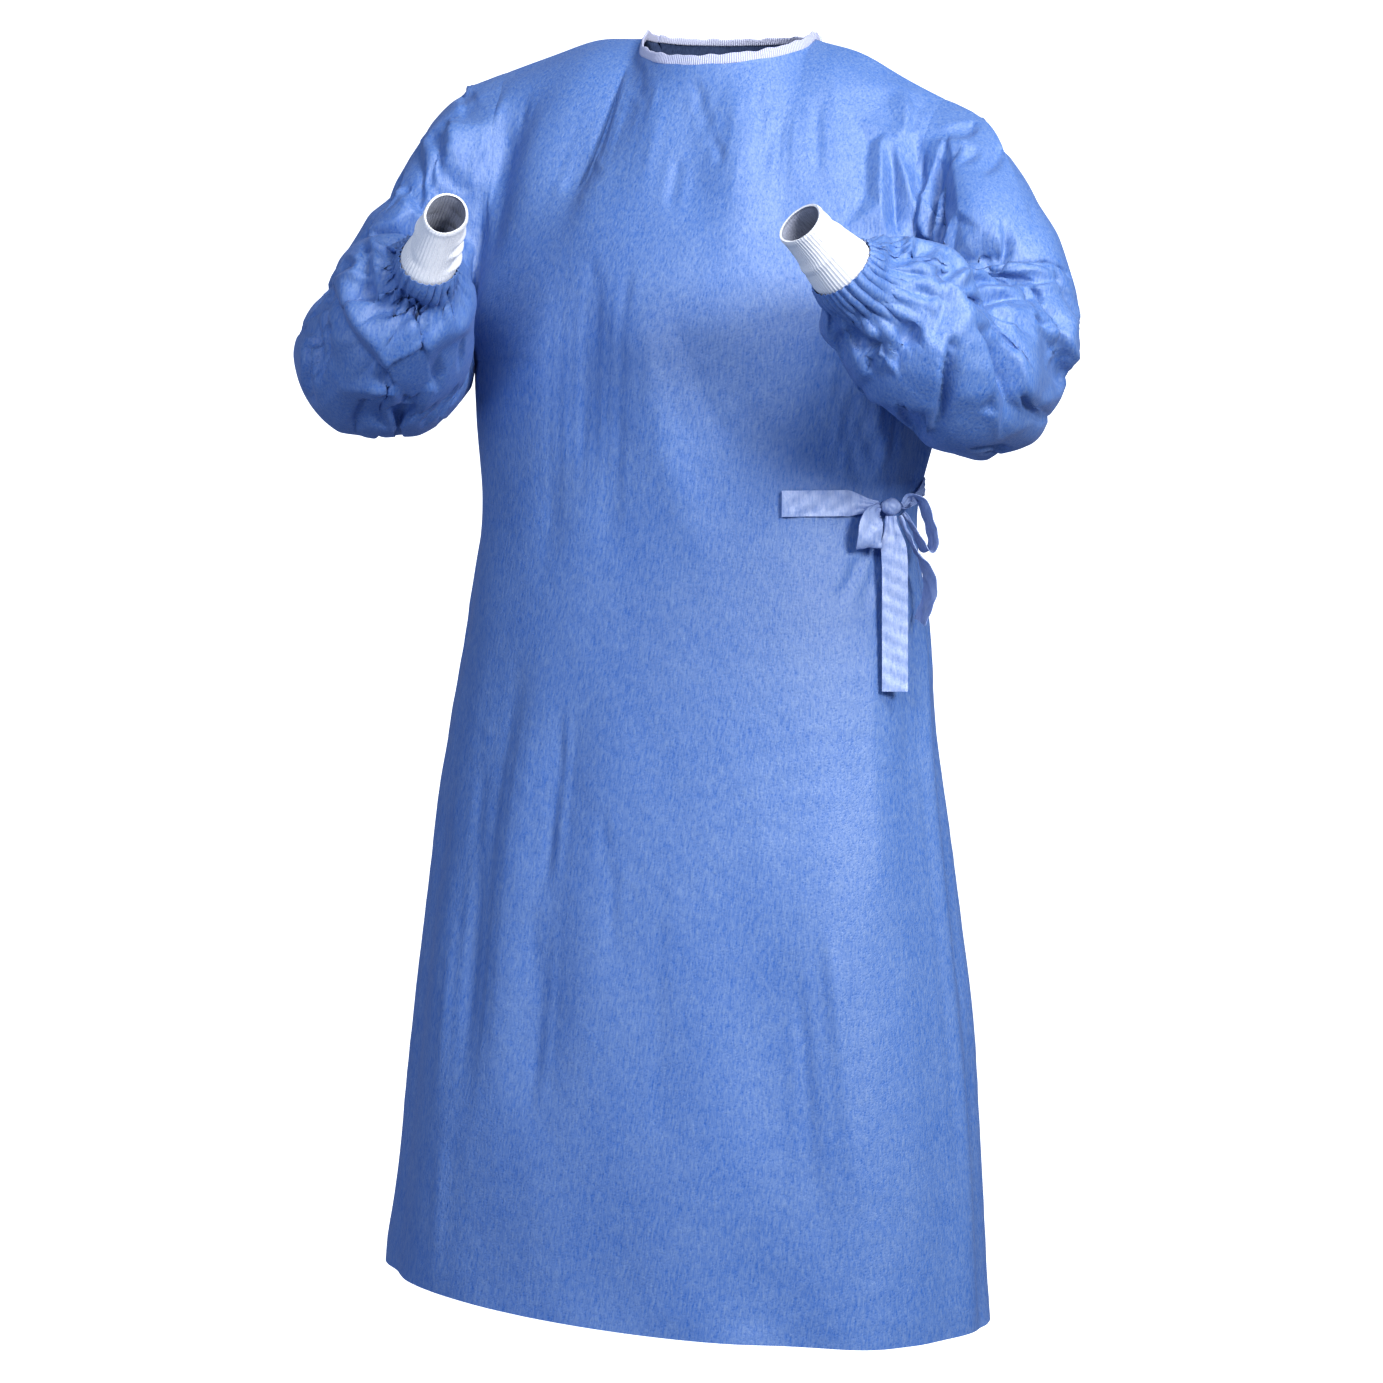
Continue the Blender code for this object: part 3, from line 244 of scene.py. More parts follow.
# metres from the cloth at a tie's sewn or free end, then what is added along it
FRONT_TIE_LIFT = (0.0055, -0.0025, 0.0080)       # beyond its end, at the knot
BELT_LIFT = (0.0032, 0.0038, 0.0070)             # on the flap, at the knot
TIE_Z = -0.4435          # height of the tie sewn on the front
FRONT_TIE_START = 33.6   # angle of its free end
BELT_START = 158.0       # angle where the belt is sewn on the outer back panel
BELT_Z = -0.4310
KNOT_ANGLE = 66.5
FRONT_TIE_STOP = 4.0     # degrees before the knot where the front tie ends
BELT_STOP = 6.5          # and behind it, where the belt does
KNOT_Z = -0.4475
KNOT_OUT = 0.012         # of the knot's middle from the cloth
KNOT_HALF = (0.0095, 0.0070, 0.0075)
BOW_TURN = 20.0          # the bow faces this far round from the front
TAIL_END_Z = -0.6215
TAIL_START = -0.0085     # its upper end, from the knot's middle
TAIL_LEAST_OUT = 0.004   # from the knot's middle
TAIL_CLEARANCE = 0.0045  # from the cloth
TAIL_ASIDE = 0.0035
# across, forward, up, the edge's way across, forward and up, width
FRONT_LOOP = np.array([
    (-10.5, 6.0, 0.0, 0.00, 0.00, 1.00, 8.0),
    (-14.5, 12.0, -2.0, -0.40, 0.15, 0.90, 13.0),
    (-18.0, 18.5, -9.0, -0.80, 0.30, 0.45, 21.0),
    (-20.0, 22.0, -18.0, -0.93, 0.37, 0.10, 24.5),
    (-21.0, 22.5, -28.0, -0.93, 0.37, 0.00, 24.5),
    (-21.5, 20.5, -35.0, -0.93, 0.37, 0.00, 24.5),
    (-21.5, 17.0, -37.5, -0.93, 0.37, 0.00, 24.5),
    (-21.5, 13.8, -34.5, -0.93, 0.37, 0.00, 24.5),
    (-20.5, 13.0, -26.0, -0.93, 0.37, 0.00, 24.0),
    (-18.0, 12.0, -17.0, -0.80, 0.30, 0.40, 18.0),
    (-14.0, 7.5, -11.0, -0.40, 0.15, 0.85, 10.0),
    (-10.5, 3.0, -8.5, -0.20, 0.00, 1.00, 7.0),
])
SIDE_LOOP = np.array([
    (10.8, 1.0, 1.8, 0.00, 0.50, 0.85, 6.0),
    (13.2, 1.0, 3.4, -0.10, 0.65, 0.75, 9.0),
    (17.0, 1.0, 8.0, -0.30, 0.85, 0.50, 14.0),
    (23.0, 0.0, 10.0, 0.20, 0.95, 0.10, 21.0),
    (29.5, -2.0, 5.0, 0.35, 0.93, 0.05, 24.0),
    (34.0, -3.0, -6.0, 0.35, 0.93, 0.05, 24.5),
    (38.5, -4.0, -20.0, 0.35, 0.93, 0.05, 24.5),
    (40.5, -4.5, -33.0, 0.35, 0.93, 0.05, 24.5),
    (38.0, -4.5, -41.5, 0.35, 0.93, 0.05, 24.5),
    (33.0, -4.0, -41.5, 0.35, 0.93, 0.05, 24.5),
    (28.5, -3.0, -34.0, 0.30, 0.95, 0.05, 23.0),
    (23.0, -2.0, -23.0, 0.20, 0.97, 0.10, 18.0),
    (16.5, -1.0, -12.5, 0.10, 0.90, 0.40, 12.0),
    (11.6, -1.0, -6.0, 0.00, 0.70, 0.70, 6.0),
])
SHORT_TAIL = np.array([
    (8.6, 0.0, -8.6, 0.50, 0.80, 0.20, 5.0),
    (12.2, 1.5, -18.0, 0.25, 0.96, 0.10, 8.0),
    (17.8, 3.0, -30.0, 0.20, 0.97, 0.00, 13.0),
    (23.0, 3.0, -41.0, 0.10, 0.99, 0.00, 20.0),
    (31.0, 1.5, -52.0, 0.30, 0.95, 0.00, 24.0),
    (36.5, 0.0, -66.0, 0.45, 0.89, 0.00, 24.5),
    (37.5, -2.0, -80.0, 0.45, 0.89, 0.00, 24.5),
    (34.0, -4.0, -95.0, 0.45, 0.89, 0.00, 24.5),
    (28.5, -6.0, -110.0, 0.45, 0.89, 0.00, 24.5),
])

# ---- grid sizes of the finished cloth ----
ROWS_UP = 116            # rows between the underarm and the shoulder
ROWS_DOWN = 170
SHOULDER_CELLS = 42
NECK_CELLS = 84
BACK_SIDE_CELLS = 50
UPPER_ROWS = 70
BEND_ROWS = 56
FOREARM_ROWS = 44
CUFF_ROWS = 44
RIB_COLUMNS = 6          # of a cuff's grid, for each knitted rib
BINDING_COLUMNS = 24
RIBBON_COLUMNS = 13
FRONT_TIE_ROWS = 90
BELT_ROWS = 190
BOW_ROWS = 90
SHORT_TAIL_ROWS = 70
TAIL_ROWS = 13
TAIL_FINER = 7           # rows of the long end for each place at which it is kept clear
KNOT_RINGS = 49
KNOT_COLUMNS = 64

# ---- where the gown is looked at from ----
EYE = np.array((1.128, -3.208, -0.300))
VIEW_TURN = 20.0         # round the gown, from straight in front towards the wearer's left
VIEW_DIP = 5.7           # downwards
LENS = 89.0              # millimetres

# ---- creases that show from the front, in millimetres on the plane that faces the viewer ----
# across and up from the gown's origin where a crease starts, the same where it ends, its bow to
# the left of its way, its widths left and right of its way, height, crispness (2 is round, 1 is
# sharp), and its width at the start as a share
FRONT_CREASES = [
    (-86, -12, -92, -60, 2, 7, 12, -2.6, 1.8, 0.6),
    (-91, -48, -130, -128, -3, 12, 17, -3.2, 2.0, 0.8),
    (-122, -118, -166, -150, -4, 9, 14, -2.8, 2.0, 1.0),
    (-72, -20, -84, -150, 3, 12, 10, 2.5, 2.0, 0.6),
    (-36, -24, -16, -98, -2, 9, 10, -2.6, 2.0, 0.5),
    (-18, -88, -3, -120, 0, 5, 6, -2.2, 1.6, 1.0),
    (6, -22, 4, -175, 0, 15, 13, 2.6, 2.0, 0.7),
    (28, -26, 34, -150, 0, 8, 9, -1.8, 2.0, 0.6),
    (-50, -108, -62, -168, 0, 8, 8, -2.4, 2.0, 0.7),
    (62, -58, 66, -160, 2, 14, 12, 2.4, 2.0, 0.7),
    (92, -40, 84, -150, -3, 9, 10, -2.4, 1.8, 0.6),
    (-138, -195, -137, -320, 4, 12, 15, -3.2, 1.9, 0.6),
    (-137, -280, -150, -420, 3, 12, 15, -2.6, 2.0, 0.8),
    (-98, -205, -108, -372, -3, 11, 14, -3.0, 1.9, 0.6),
    (-108, -330, -128, -520, 5, 12, 14, -2.6, 2.0, 0.8),
    (-84, -240, -18, -540, -14, 26, 20, 3.0, 2.0, 0.4),
    (-60, -250, 20, -430, -8, 16, 14, -1.8, 2.0, 0.6),
    (-164, -640, -192, -858, 6, 7, 15, -4.5, 1.5, 0.4),
    (-191, -830, -198, -1070, 2, 9, 16, -4.0, 1.6, 1.0),
    (-130, -735, -112, -945, 4, 12, 14, -2.0, 2.0, 0.6),
    (-70, -790, -64, -1130, -5, 18, 16, -1.6, 2.0, 0.6),
    (88, -830, 128, -1200, 6, 10, 16, 4.0, 1.5, 0.5),
    (60, -880, 92, -1230, 4, 12, 16, -3.0, 1.8, 0.5),
    (30, -700, 20, -1000, 6, 22, 20, 1.6, 2.0, 0.6),
    (-260, -600, -272, -800, -3, 8, 9, 3.0, 1.7, 0.7),
    (-271, -780, -291, -1250, 0, 9, 10, 3.4, 1.7, 1.0),
    (-243, -640, -262, -1100, 2, 9, 9, -2.8, 1.8, 0.7),
    (166, -520, 176, -760, 5, 12, 14, -3.0, 1.7, 0.4),
    (140, -560, 146, -900, 0, 16, 16, 2.2, 2.0, 0.5),
    (152, -425, 118, -330, 4, 6, 6, -2.6, 1.5, 0.6),
    (158, -422, 146, -340, 3, 5, 6, 2.2, 1.4, 0.6),
    (163, -420, 166, -330, 2, 5, 5, -2.4, 1.5, 0.6),
    (150, -484, 104, -560, -5, 6, 7, -2.2, 1.6, 0.5),
    (158, -490, 140, -580, -4, 6, 6, 2.0, 1.5, 0.5),
]
# lines on the sleeves, on the same plane: across, up and height of their points.  The cloth is
# flat between neighbouring lines
SLEEVE_FACETS = {
    -1: [
        [(-282, -71, 0), (-307, -96, 0), (-326, -134, 0), (-349, -174, 0), (-378, -208, 0),
         (-398, -242, 0), (-405, -264, 0), (-422, -282, 0), (-432, -299, 0), (-426, -331, 0),
         (-418, -353, 0), (-392, -374, 0), (-362, -389, 0), (-323, -386, 0), (-272, -371, 0),
         (-255, -336, 0), (-251, -282, 0), (-251, -213, 0)],
        [(-264, -80, 0), (-258, -115, 0), (-258, -154, 0), (-260, -193, 0)],
        [(-300, -97, 3), (-291, -117, 6), (-287, -138, 6)],
        [(-305, -111, -3), (-301, -134, -6)],
        [(-323, -137, -2), (-313, -149, -6), (-304, -162, -6)],
        [(-325, -145, 2), (-315, -158, 5), (-310, -166, 3)],
        [(-353, -186, 3), (-325, -176, 5)],
        [(-344, -192, -5), (-325, -190, -10)],
        [(-359, -195, -3), (-359, -218, -8), (-353, -244, -6)],
        [(-348, -197, 3), (-346, -223, 5), (-343, -250, 2)],
        [(-335, -215, -3), (-333, -237, -3)],
        [(-388, -233, 3), (-377, -229, 5), (-365, -224, 5), (-362, -212, 3)],
        [(-376, -215, -6)],
        [(-382, -236, 5), (-373, -255, 8), (-360, -277, 10), (-344, -295, 10), (-335, -314, 8),
         (-329, -335, 3)],
        [(-388, -249, -3), (-382, -277, -8), (-370, -299, -10), (-351, -319, -10),
         (-334, -334, -10)],
        [(-377, -336, 5), (-353, -337, 6), (-330, -339, 6), (-294, -334, 5)],
        [(-387, -323, 2), (-362, -328, -2)],
        [(-332, -278, 5), (-334, -298, 6)],
        [(-342, -258, -3), (-321, -261, -10), (-304, -264, -6)],
        [(-338, -270, 3), (-318, -274, 5), (-299, -274, 5), (-279, -257, 5)],
        [(-299, -296, 5), (-284, -282, 5)],
        [(-283, -305, -2), (-291, -331, -6), (-312, -350, -6), (-321, -365, -3)],
        [(-278, -321, 2), (-287, -340, 3), (-303, -358, 5), (-317, -372, 3)],
        [(-323, -377, 3), (-348, -381, 2)],
        [(-412, -301, -5), (-413, -326, -5), (-410, -347, -3)],
        [(-408, -292, 3), (-406, -323, 5), (-401, -358, 2)],
        [(-416, -299, 3), (-417, -336, 3)],
        [(-392, -250, 3), (-396, -282, 5), (-394, -309, 3)],
        [(-402, -286, -5), (-401, -309, -5)],
        [(-372, -355, 2), (-338, -360, 3)],
    ],
    1: [
        [(103, -17, 0), (103, -76, 0), (106, -134, 0), (113, -183, 0)],
        [(148, -17, 0), (207, -53, 0), (265, -102, 0), (307, -157, 0), (334, -215, 0),
         (347, -252, 0), (344, -301, 0), (332, -345, 0), (305, -371, 0), (265, -394, 0),
         (241, -402, 0), (216, -406, 0), (197, -402, 0), (167, -391, 0), (154, -378, 0),
         (142, -352, 0), (124, -343, 0), (110, -316, 0), (101, -286, 0), (97, -262, 0)],
        [(114, -48, -2), (126, -74, -4), (137, -95, -6), (134, -113, -4), (134, -149, -2)],
        [(148, -34, -1), (154, -54, -4), (160, -71, -3), (155, -86, -1)],
        [(170, -44, 2), (175, -64, 3), (173, -85, 2)],
        [(184, -64, -2), (181, -79, -3), (175, -91, -1)],
        [(149, -97, 2), (148, -125, 5), (148, -159, 6), (152, -193, 4)],
        [(160, -99, 0), (161, -120, -5), (163, -144, -8), (165, -174, -8), (167, -199, -6)],
        [(164, -105, 1), (172, -132, 3), (178, -157, 4), (184, -175, 4), (177, -211, 3)],
        [(186, -83, -1), (185, -105, -4), (186, -125, -6), (188, -144, -3)],
        [(193, -105, 1), (194, -127, 2)],
        [(213, -89, 1), (207, -105, 3), (203, -120, 4), (197, -134, 4), (191, -148, 3),
         (187, -166, 5), (192, -191, 2)],
        [(211, -100, -1), (207, -115, -3), (205, -134, -5), (205, -154, -7), (204, -176, -9),
         (197, -195, -10)],
        [(216, -93, 2), (219, -107, 4), (223, -129, 5), (226, -152, 5), (227, -168, 5)],
        [(184, -193, -14), (185, -209, -16)],
        [(225, -173, 0), (219, -191, -4), (212, -213, -9)],
        [(216, -176, 1), (209, -193, -1), (207, -215, -4)],
        [(232, -196, 0), (249, -184, 3), (265, -171, 4), (283, -158, 3)],
        [(262, -182, 4), (265, -196, 3), (266, -206, 1)],
        [(209, -225, -13), (226, -217, -10), (246, -213, -6), (263, -209, -3)],
        [(269, -185, 0), (271, -199, -5), (267, -215, -5)],
        [(276, -182, 2), (281, -196, 3), (277, -213, 2)],
        [(232, -224, 3), (265, -225, 4), (305, -224, 3), (324, -228, 1)],
        [(216, -232, -10), (232, -240, -8), (248, -233, -5), (275, -232, -5), (303, -233, -5),
         (321, -233, -1)],
        [(251, -240, 2), (275, -242, 3), (305, -240, 3), (322, -238, 1)],
        [(238, -251, -12), (251, -251, -11), (266, -251, -7), (290, -250, -2), (319, -246, -1)],
        [(177, -223, 2), (189, -219, 5), (200, -232, 5), (205, -248, 4), (203, -260, 4),
         (196, -270, 2), (192, -283, 1)],
        [(207, -236, -2), (208, -252, -4), (207, -266, -5), (199, -282, -3)],
        [(213, -235, 4), (227, -243, 4), (233, -255, 4), (236, -266, 5)],
        [(198, -251, -1), (193, -264, -4), (183, -280, -6), (172, -290, -10), (160, -305, -7),
         (148, -323, -2)],
        [(148, -237, 3), (172, -242, 4), (167, -272, 3)],
        [(108, -252, 3), (123, -272, 3), (138, -285, 5), (162, -291, 2)],
        [(111, -289, -5), (128, -294, -8), (146, -301, -10)],
        [(128, -307, 3), (140, -304, 5), (155, -304, 3)],
        [(134, -319, 5), (155, -313, 3)],
        [(167, -323, 3), (182, -306, 3), (197, -296, 5)],
        [(126, -338, 3), (144, -347, 7), (167, -351, 7), (194, -357, 7)],
        [(148, -356, -7), (167, -361, -7), (189, -367, -7)],
        [(159, -380, -3), (192, -386, -2)],
        [(231, -270, 5), (221, -283, 4), (212, -299, 7), (207, -323, 8), (202, -350, 8),
         (196, -377, 5)],
        [(216, -297, -5), (210, -323, -10), (207, -350, -8), (201, -378, 0)],
        [(226, -297, 3), (225, -321, 5), (221, -345, 5), (212, -370, 2)],
        [(237, -276, 4), (244, -293, 8), (250, -316, 10), (255, -336, 10), (259, -360, 8),
         (263, -387, 3)],
        [(247, -288, -3), (258, -305, -7), (266, -328, -8), (273, -352, -5)],
        [(241, -264, 4), (254, -275, 4), (268, -288, 7), (279, -307, 8), (287, -331, 8),
         (295, -352, 7)],
        [(256, -261, -3), (262, -272, -5), (268, -282, -3)],
        [(266, -256, 3), (272, -268, 4), (276, -282, 4)],
        [(296, -263, 2), (312, -281, 4), (329, -292, 8), (340, -311, 5)],
        [(295, -269, 0), (310, -287, -3), (324, -301, -7), (327, -325, -5)],
        [(216, -382, 3), (238, -358, 5), (252, -354, 2)],
    ],
}
# creases that cross the right armhole, in the same terms
ARMHOLE_CREASES = [
    (-196, -44, -240, -150, 0, 12, 16, -8.0, 1.7, 0.5),
    (-215, -44, -262, -150, 0, 9, 9, 4.0, 1.6, 0.5),
    (-222, -60, -246, -240, 6, 12, 14, -9.0, 1.7, 0.5),
]
# broad corrections of a sleeve's outline, in the same terms
SLEEVE_OUTLINE = {
    -1: [
        (-264, -46, -300, -100, 0, 20, 20, 2.0, 2.0, 1.0),
        (-330, -150, -392, -250, 0, 26, 26, 8.0, 2.0, 1.0),
        (-400, -225, -440, -300, 0, 28, 28, -4.0, 2.0, 1.0),
        (-385, -366, -300, -384, 0, 30, 34, -5.0, 2.0, 1.0),
    ],
    1: [
        (244, -84, 322, -195, 0, 30, 30, -6, 2.0, 1.0),
        (356, -300, 300, -395, 0, 36, 36, -9, 2.0, 1.0),
        (176, -380, 266, -400, 0, 22, 22, 6.0, 2.0, 1.0),
        (70, -236, 102, -306, 0, 20, 20, 7.0, 2.0, 1.0),
    ],
}
# ---- creases of the hidden sides ----
# angle round the body and height at the start, the same at the end, widths left and right,
# height in millimetres, crispness
BACK_CREASES = [
    (-72, -0.20, -72, -0.60, 0.060, 0.060, 8.0, 2.0),
    (108, -0.62, 108, -1.45, 0.070, 0.070, 5.0, 2.0),
    (126, -0.10, 141, -0.30, 0.010, 0.016, -4.0, 1.6),
    (236, -0.10, 221, -0.31, 0.016, 0.009, -4.5, 1.6),
    (116, -0.16, 126, -0.36, 0.009, 0.014, 3.0, 1.5),
    (246, -0.14, 238, -0.38, 0.013, 0.009, 3.5, 1.5),
    (168, -0.06, 163, -0.30, 0.018, 0.014, -2.5, 2.0),
    (192, -0.08, 197, -0.34, 0.014, 0.020, 2.5, 2.0),
    (158, -0.43, 186, -0.40, 0.007, 0.010, 2.6, 1.5),
    (158, -0.43, 190, -0.47, 0.008, 0.009, -2.8, 1.5),
    (160, -0.43, 200, -0.54, 0.009, 0.012, 3.0, 1.6),
    (112, -0.30, 100, -0.46, 0.009, 0.012, -4.0, 1.6),
    (100, -0.28, 88, -0.44, 0.010, 0.009, 3.5, 1.5),
    (96, -0.47, 112, -0.72, 0.010, 0.016, -4.5, 1.6),
    (88, -0.48, 92, -0.80, 0.012, 0.012, 4.0, 1.6),
    (104, -0.46, 128, -0.62, 0.008, 0.010, 3.0, 1.5),
    (262, -0.34, 258, -0.70, 0.012, 0.016, -5.0, 1.7),
    (274, -0.36, 277, -0.78, 0.016, 0.012, 4.5, 1.8),
    (139, -0.56, 143, -1.16, 0.016, 0.024, 4.5, 1.7),
    (117, -0.70, 119, -1.30, 0.022, 0.016, -5.0, 1.7),
    (170, -0.62, 174, -1.30, 0.024, 0.016, 4.0, 1.7),
    (189, -0.50, 193, -1.30, 0.014, 0.022, -5.0, 1.6),
    (214, -0.60, 216, -1.20, 0.018, 0.026, 5.0, 1.7),
    (237, -0.52, 235, -1.30, 0.022, 0.014, -4.5, 1.6),
    (253, -0.80, 255, -1.30, 0.016, 0.020, 4.0, 1.8),
    (266, -0.84, 268, -1.30, 0.016, 0.016, -4.0, 1.8),
    (-80, -0.36, -76, -0.74, 0.012, 0.015, -4.0, 1.7),
    (-72, -0.50, -73, -1.10, 0.018, 0.014, 3.0, 1.8),
    (80, -0.52, 82, -1.20, 0.016, 0.020, -3.5, 1.8),
]
# angle round the sleeve and place along it at the start, the same at the end, widths either
# side, height in millimetres, crispness
SLEEVE_BACK_CREASES = {
    -1: [
        (20, -0.80, 40, -0.10, 0.016, 0.012, -4.0, 1.7),
        (-30, -0.70, -10, 0.10, 0.012, 0.018, 4.0, 1.7),
        (300, -0.90, 330, -0.20, 0.010, 0.014, -5.0, 1.6),
        (60, -0.60, 62, 0.20, 0.012, 0.012, 3.5, 1.6),
        (-20, 0.05, 25, 0.55, 0.009, 0.015, -5.0, 1.5),
        (-60, 0.20, -12, 0.75, 0.012, 0.009, 5.0, 1.5),
        (-75, 0.50, -30, 1.20, 0.010, 0.016, -5.0, 1.5),
        (10, 0.85, -8, 1.60, 0.014, 0.010, 4.0, 1.6),
        (-80, 1.00, -60, 1.80, 0.010, 0.012, 4.0, 1.6),
        (35, 1.15, 30, 1.85, 0.010, 0.009, -4.0, 1.5),
    ],
    1: [
        (15, -0.85, 30, -0.05, 0.014, 0.012, -4.0, 1.7),
        (-35, -0.75, -15, 0.15, 0.012, 0.016, 4.0, 1.7),
        (290, -0.90, 325, -0.10, 0.010, 0.014, -5.0, 1.6),
        (-25, 0.00, 15, 0.60, 0.009, 0.014, -5.0, 1.5),
        (-65, 0.25, -20, 0.80, 0.012, 0.009, 5.0, 1.5),
        (-80, 0.60, -40, 1.30, 0.010, 0.016, -4.5, 1.5),
        (5, 0.90, -12, 1.65, 0.014, 0.010, 3.5, 1.6),
        (-85, 1.10, -70, 1.85, 0.010, 0.012, 4.0, 1.6),
    ],
}

# ---- how strongly the creases are laid on ----
SEEN_LEAST = -0.05       # cosine towards the eye at which creases have faded out
OUTLINE_LEAST = -0.75    # and the corrections of the outline
SEEN_FADE = 0.30         # over which both fade
SEEN_CREST = 0.5         # half width of a crease's round top, in millimetres
SURFACE_CREST = 0.0006   # the same of those on the surface, in metres
HIDDEN_LEAST = -0.30     # where the creases of the hidden sides have their whole height
HIDDEN_FADE = 0.35
CRUMPLE = 0.00080        # height of the fine ridges all over the cloth
FRONT_DEPTH = 1.3        # times the heights in the front's table
CRISP_FRONT = 0.10       # times the same heights, laid on after the cloth has settled
FACET_DEPTH = 1.2        # times the heights in the facets' table
FACET_LOW = -205         # the front has them down to here, behind the forearm
SLEEVE_CRUMPLE = 1.3     # times the body's
SEEN_GIVE = 0.35         # how much of the give is left where the facets are

# ---- settling: how much longer and wider than its form the cloth is cut, and how far it may
# stray from it ----
BEND_SLACK = 0.03        # up, all round the bend
CROOK_SLACK = 0.32       # up, and more at the crook
FOREARM_SLACK = 0.04     # up
SLEEVE_WIDER = 1.03      # across, times the form
SLEEVE_SLACK = 0.055     # across, and more below the cap
SLEEVE_GIVE = 0.018
BODY_SLACK = (0.002, 0.010)      # across only, and more towards the hem
BODY_GIVE = 0.008
OUTWARD_GIVE = 0.12      # share of the give that is left outwards
SETTLE_HOLD = 0.0004     # share of the way back to the form in each round
SETTLE_NOISE = 0.005
PULL_BACK = 0.3          # share of what is beyond the give that each round takes back
PUSH_IN = 0.5            # the same of what is too far outwards, in every third round
PUSH_EVERY = 3
# rows and columns between the points that take part, rounds, stiffness
SLEEVE_STEPS = ((4, 5, 900, 0.015), (2, 2, 700, 0.008), (1, 1, 90, 0.004))
BODY_STEPS = ((4, 3, 500, 0.020), (1, 1, 60, 0.003))

# ---- seams and the cuffs' folds ----
EDGE_REACH = 0.016       # from a side seam, where the creases have their whole height
EDGE_ROWS = 14.0         # above the underarm, over which a side edge is let go
EDGE_TOP = 0.04          # share of the rows that are held below the neckline and shoulders
SEAM_GROOVE = 0.00012
SEAM_WIDTH = 0.0020
CUFF_LIP = 0.0007        # of the rolled end
CUFF_TUCK = 0.0010       # of the foot under the sleeve
CUFF_UNEVEN = 0.018      # share of its size that the end is out of round
# share along the cuff, angle round it, slope, width and spread, height
CUFF_FOLDS = {
    -1: [
        (0.16, 215, 0.05, 0.055, 70, 0.0035),
        (0.30, 235, -0.06, 0.050, 60, -0.0032),
        (0.42, 230, 0.06, 0.055, 65, 0.0032),
        (0.56, 240, 0.02, 0.050, 55, -0.0029),
        (0.68, 225, -0.05, 0.060, 60, 0.0022),
        (0.35, 60, 0.08, 0.070, 60, -0.0022),
        (0.62, 90, -0.04, 0.060, 60, 0.0019),
    ],
    1: [
        (0.20, 200, 0.06, 0.060, 70, 0.0016),
        (0.36, 220, -0.05, 0.050, 60, -0.0015),
        (0.52, 40, 0.05, 0.060, 65, 0.0015),
        (0.70, 70, -0.05, 0.055, 60, -0.0012),
        (0.44, 300, 0.06, 0.060, 60, 0.0012),
    ],
}

# ---- flat cuts: width and length in metres, and the area where a cut isn't square ----
FLAT = {"front": (0.78, 1.30), "back": (0.62, 1.30), "sleeve": (0.56, 0.62),
        "cuff": (0.17, 0.065), "binding": (0.013, 0.62), "front_tie": (0.025, 0.09),
        "belt": (0.025, 0.34), "loop_front": (0.025, 0.10), "loop_side": (0.025, 0.14),
        "tail_short": (0.025, 0.11), "tail_long": (0.025, 0.18)}
AREA = {"front": 0.86, "left": 0.60, "right": 0.60, "sleeve": 0.24, "belt": 0.006,
        "loop_side": 0.0030, "tail_short": 0.0023}

# ---- finishes, sizes in metres ----
SHEEN_ROUGHNESS = 0.45
FIBRE_SIZE = (0.0021, 0.0021, 0.0090)
BOND_SIZE = (0.0022, 0.0022, 0.0040)
BOND_TURN = 38.0         # of the bonds' rows against the fibres, in degrees
FIBRE_WEIGHT, BOND_WEIGHT, CLOUD_WEIGHT = 0.70, 0.14, 0.12      # of the cloth's colour
WEB_SPAN = (0.29, 0.61)  # of their sum, between the deep and the light colour
SAG_DEPTH = 0.0007       # of the cloth's soft unevenness
TIE_GRAIN = 0.7          # times the cloth's relief
KNIT_PITCH = 0.0032
KNIT_LOOP = 0.0011
BINDING_PITCH = 0.0022

# ---- stage ----
SENSOR = 36.0            # millimetres
FLOOR_REACH = 7.0        # of the floor to either side and towards the viewer
BACKDROP_Y = 2.6         # where the floor turns up behind the gown
BACKDROP_BEND = 1.6      # radius of that turn
BACKDROP_TOP = 6.0
STAGE_GLOW = 0.8
WORLD_COLOUR = "#BFD6FF"
WORLD_STRENGTH = 0.29
# name, place, what it points at, size, power in watts, colour
LIGHTS = (
    ("key_right", (2.5, -1.9, 0.60), (0.05, 0.0, -0.30), (0.8, 0.8), 70.0, "#FFFFFF"),
    ("fill_front", (0.3, -4.2, 1.5), (0.0, 0.0, -0.5), (1.4, 1.4), 64.0, "#F4F7FF"),
    ("top_right", (1.7, -1.1, 1.8), (0.20, -0.1, -0.25), (0.9, 0.9), 42.0, "#FFFFFF"),
    ("fill_left", (-1.7, -2.4, -1.3), (-0.30, -0.1, -0.4), (1.0, 1.0), 16.0, "#C4DAFF"),
)

# rows of a thread's first points, of its second, whether those are a column on, how stiff it
# is, and whose slack it has (0 up, 1 across)
THREADS = (
    (slice(None, -1), slice(1, None), False, 0.6, (0,)),
    (slice(None), slice(None), True, 0.6, (1,)),
    (slice(None, -1), slice(1, None), True, 0.35, (0, 1)),
    (slice(1, None), slice(None, -1), True, 0.35, (0, 1)),
)


# ---------------------------------------------------------------- curves and surfaces

def angle_from(middle, angle):
    """How far an angle in degrees lies from another one, -180 to 180."""
    return (angle - middle + 180.0) % 360.0 - 180.0


def smoothstep(value):
    """0 below 0, 1 above 1, and 3t^2 - 2t^3 between."""
    t = np.clip(value, 0.0, 1.0)
    return t * t * (3.0 - 2.0 * t)


def fade_ends(share, first, last):
    """1 along a line, and smoothly down to 0 over the first and last shares of it."""
    return smoothstep(share / first) * smoothstep((1.0 - share) / last)


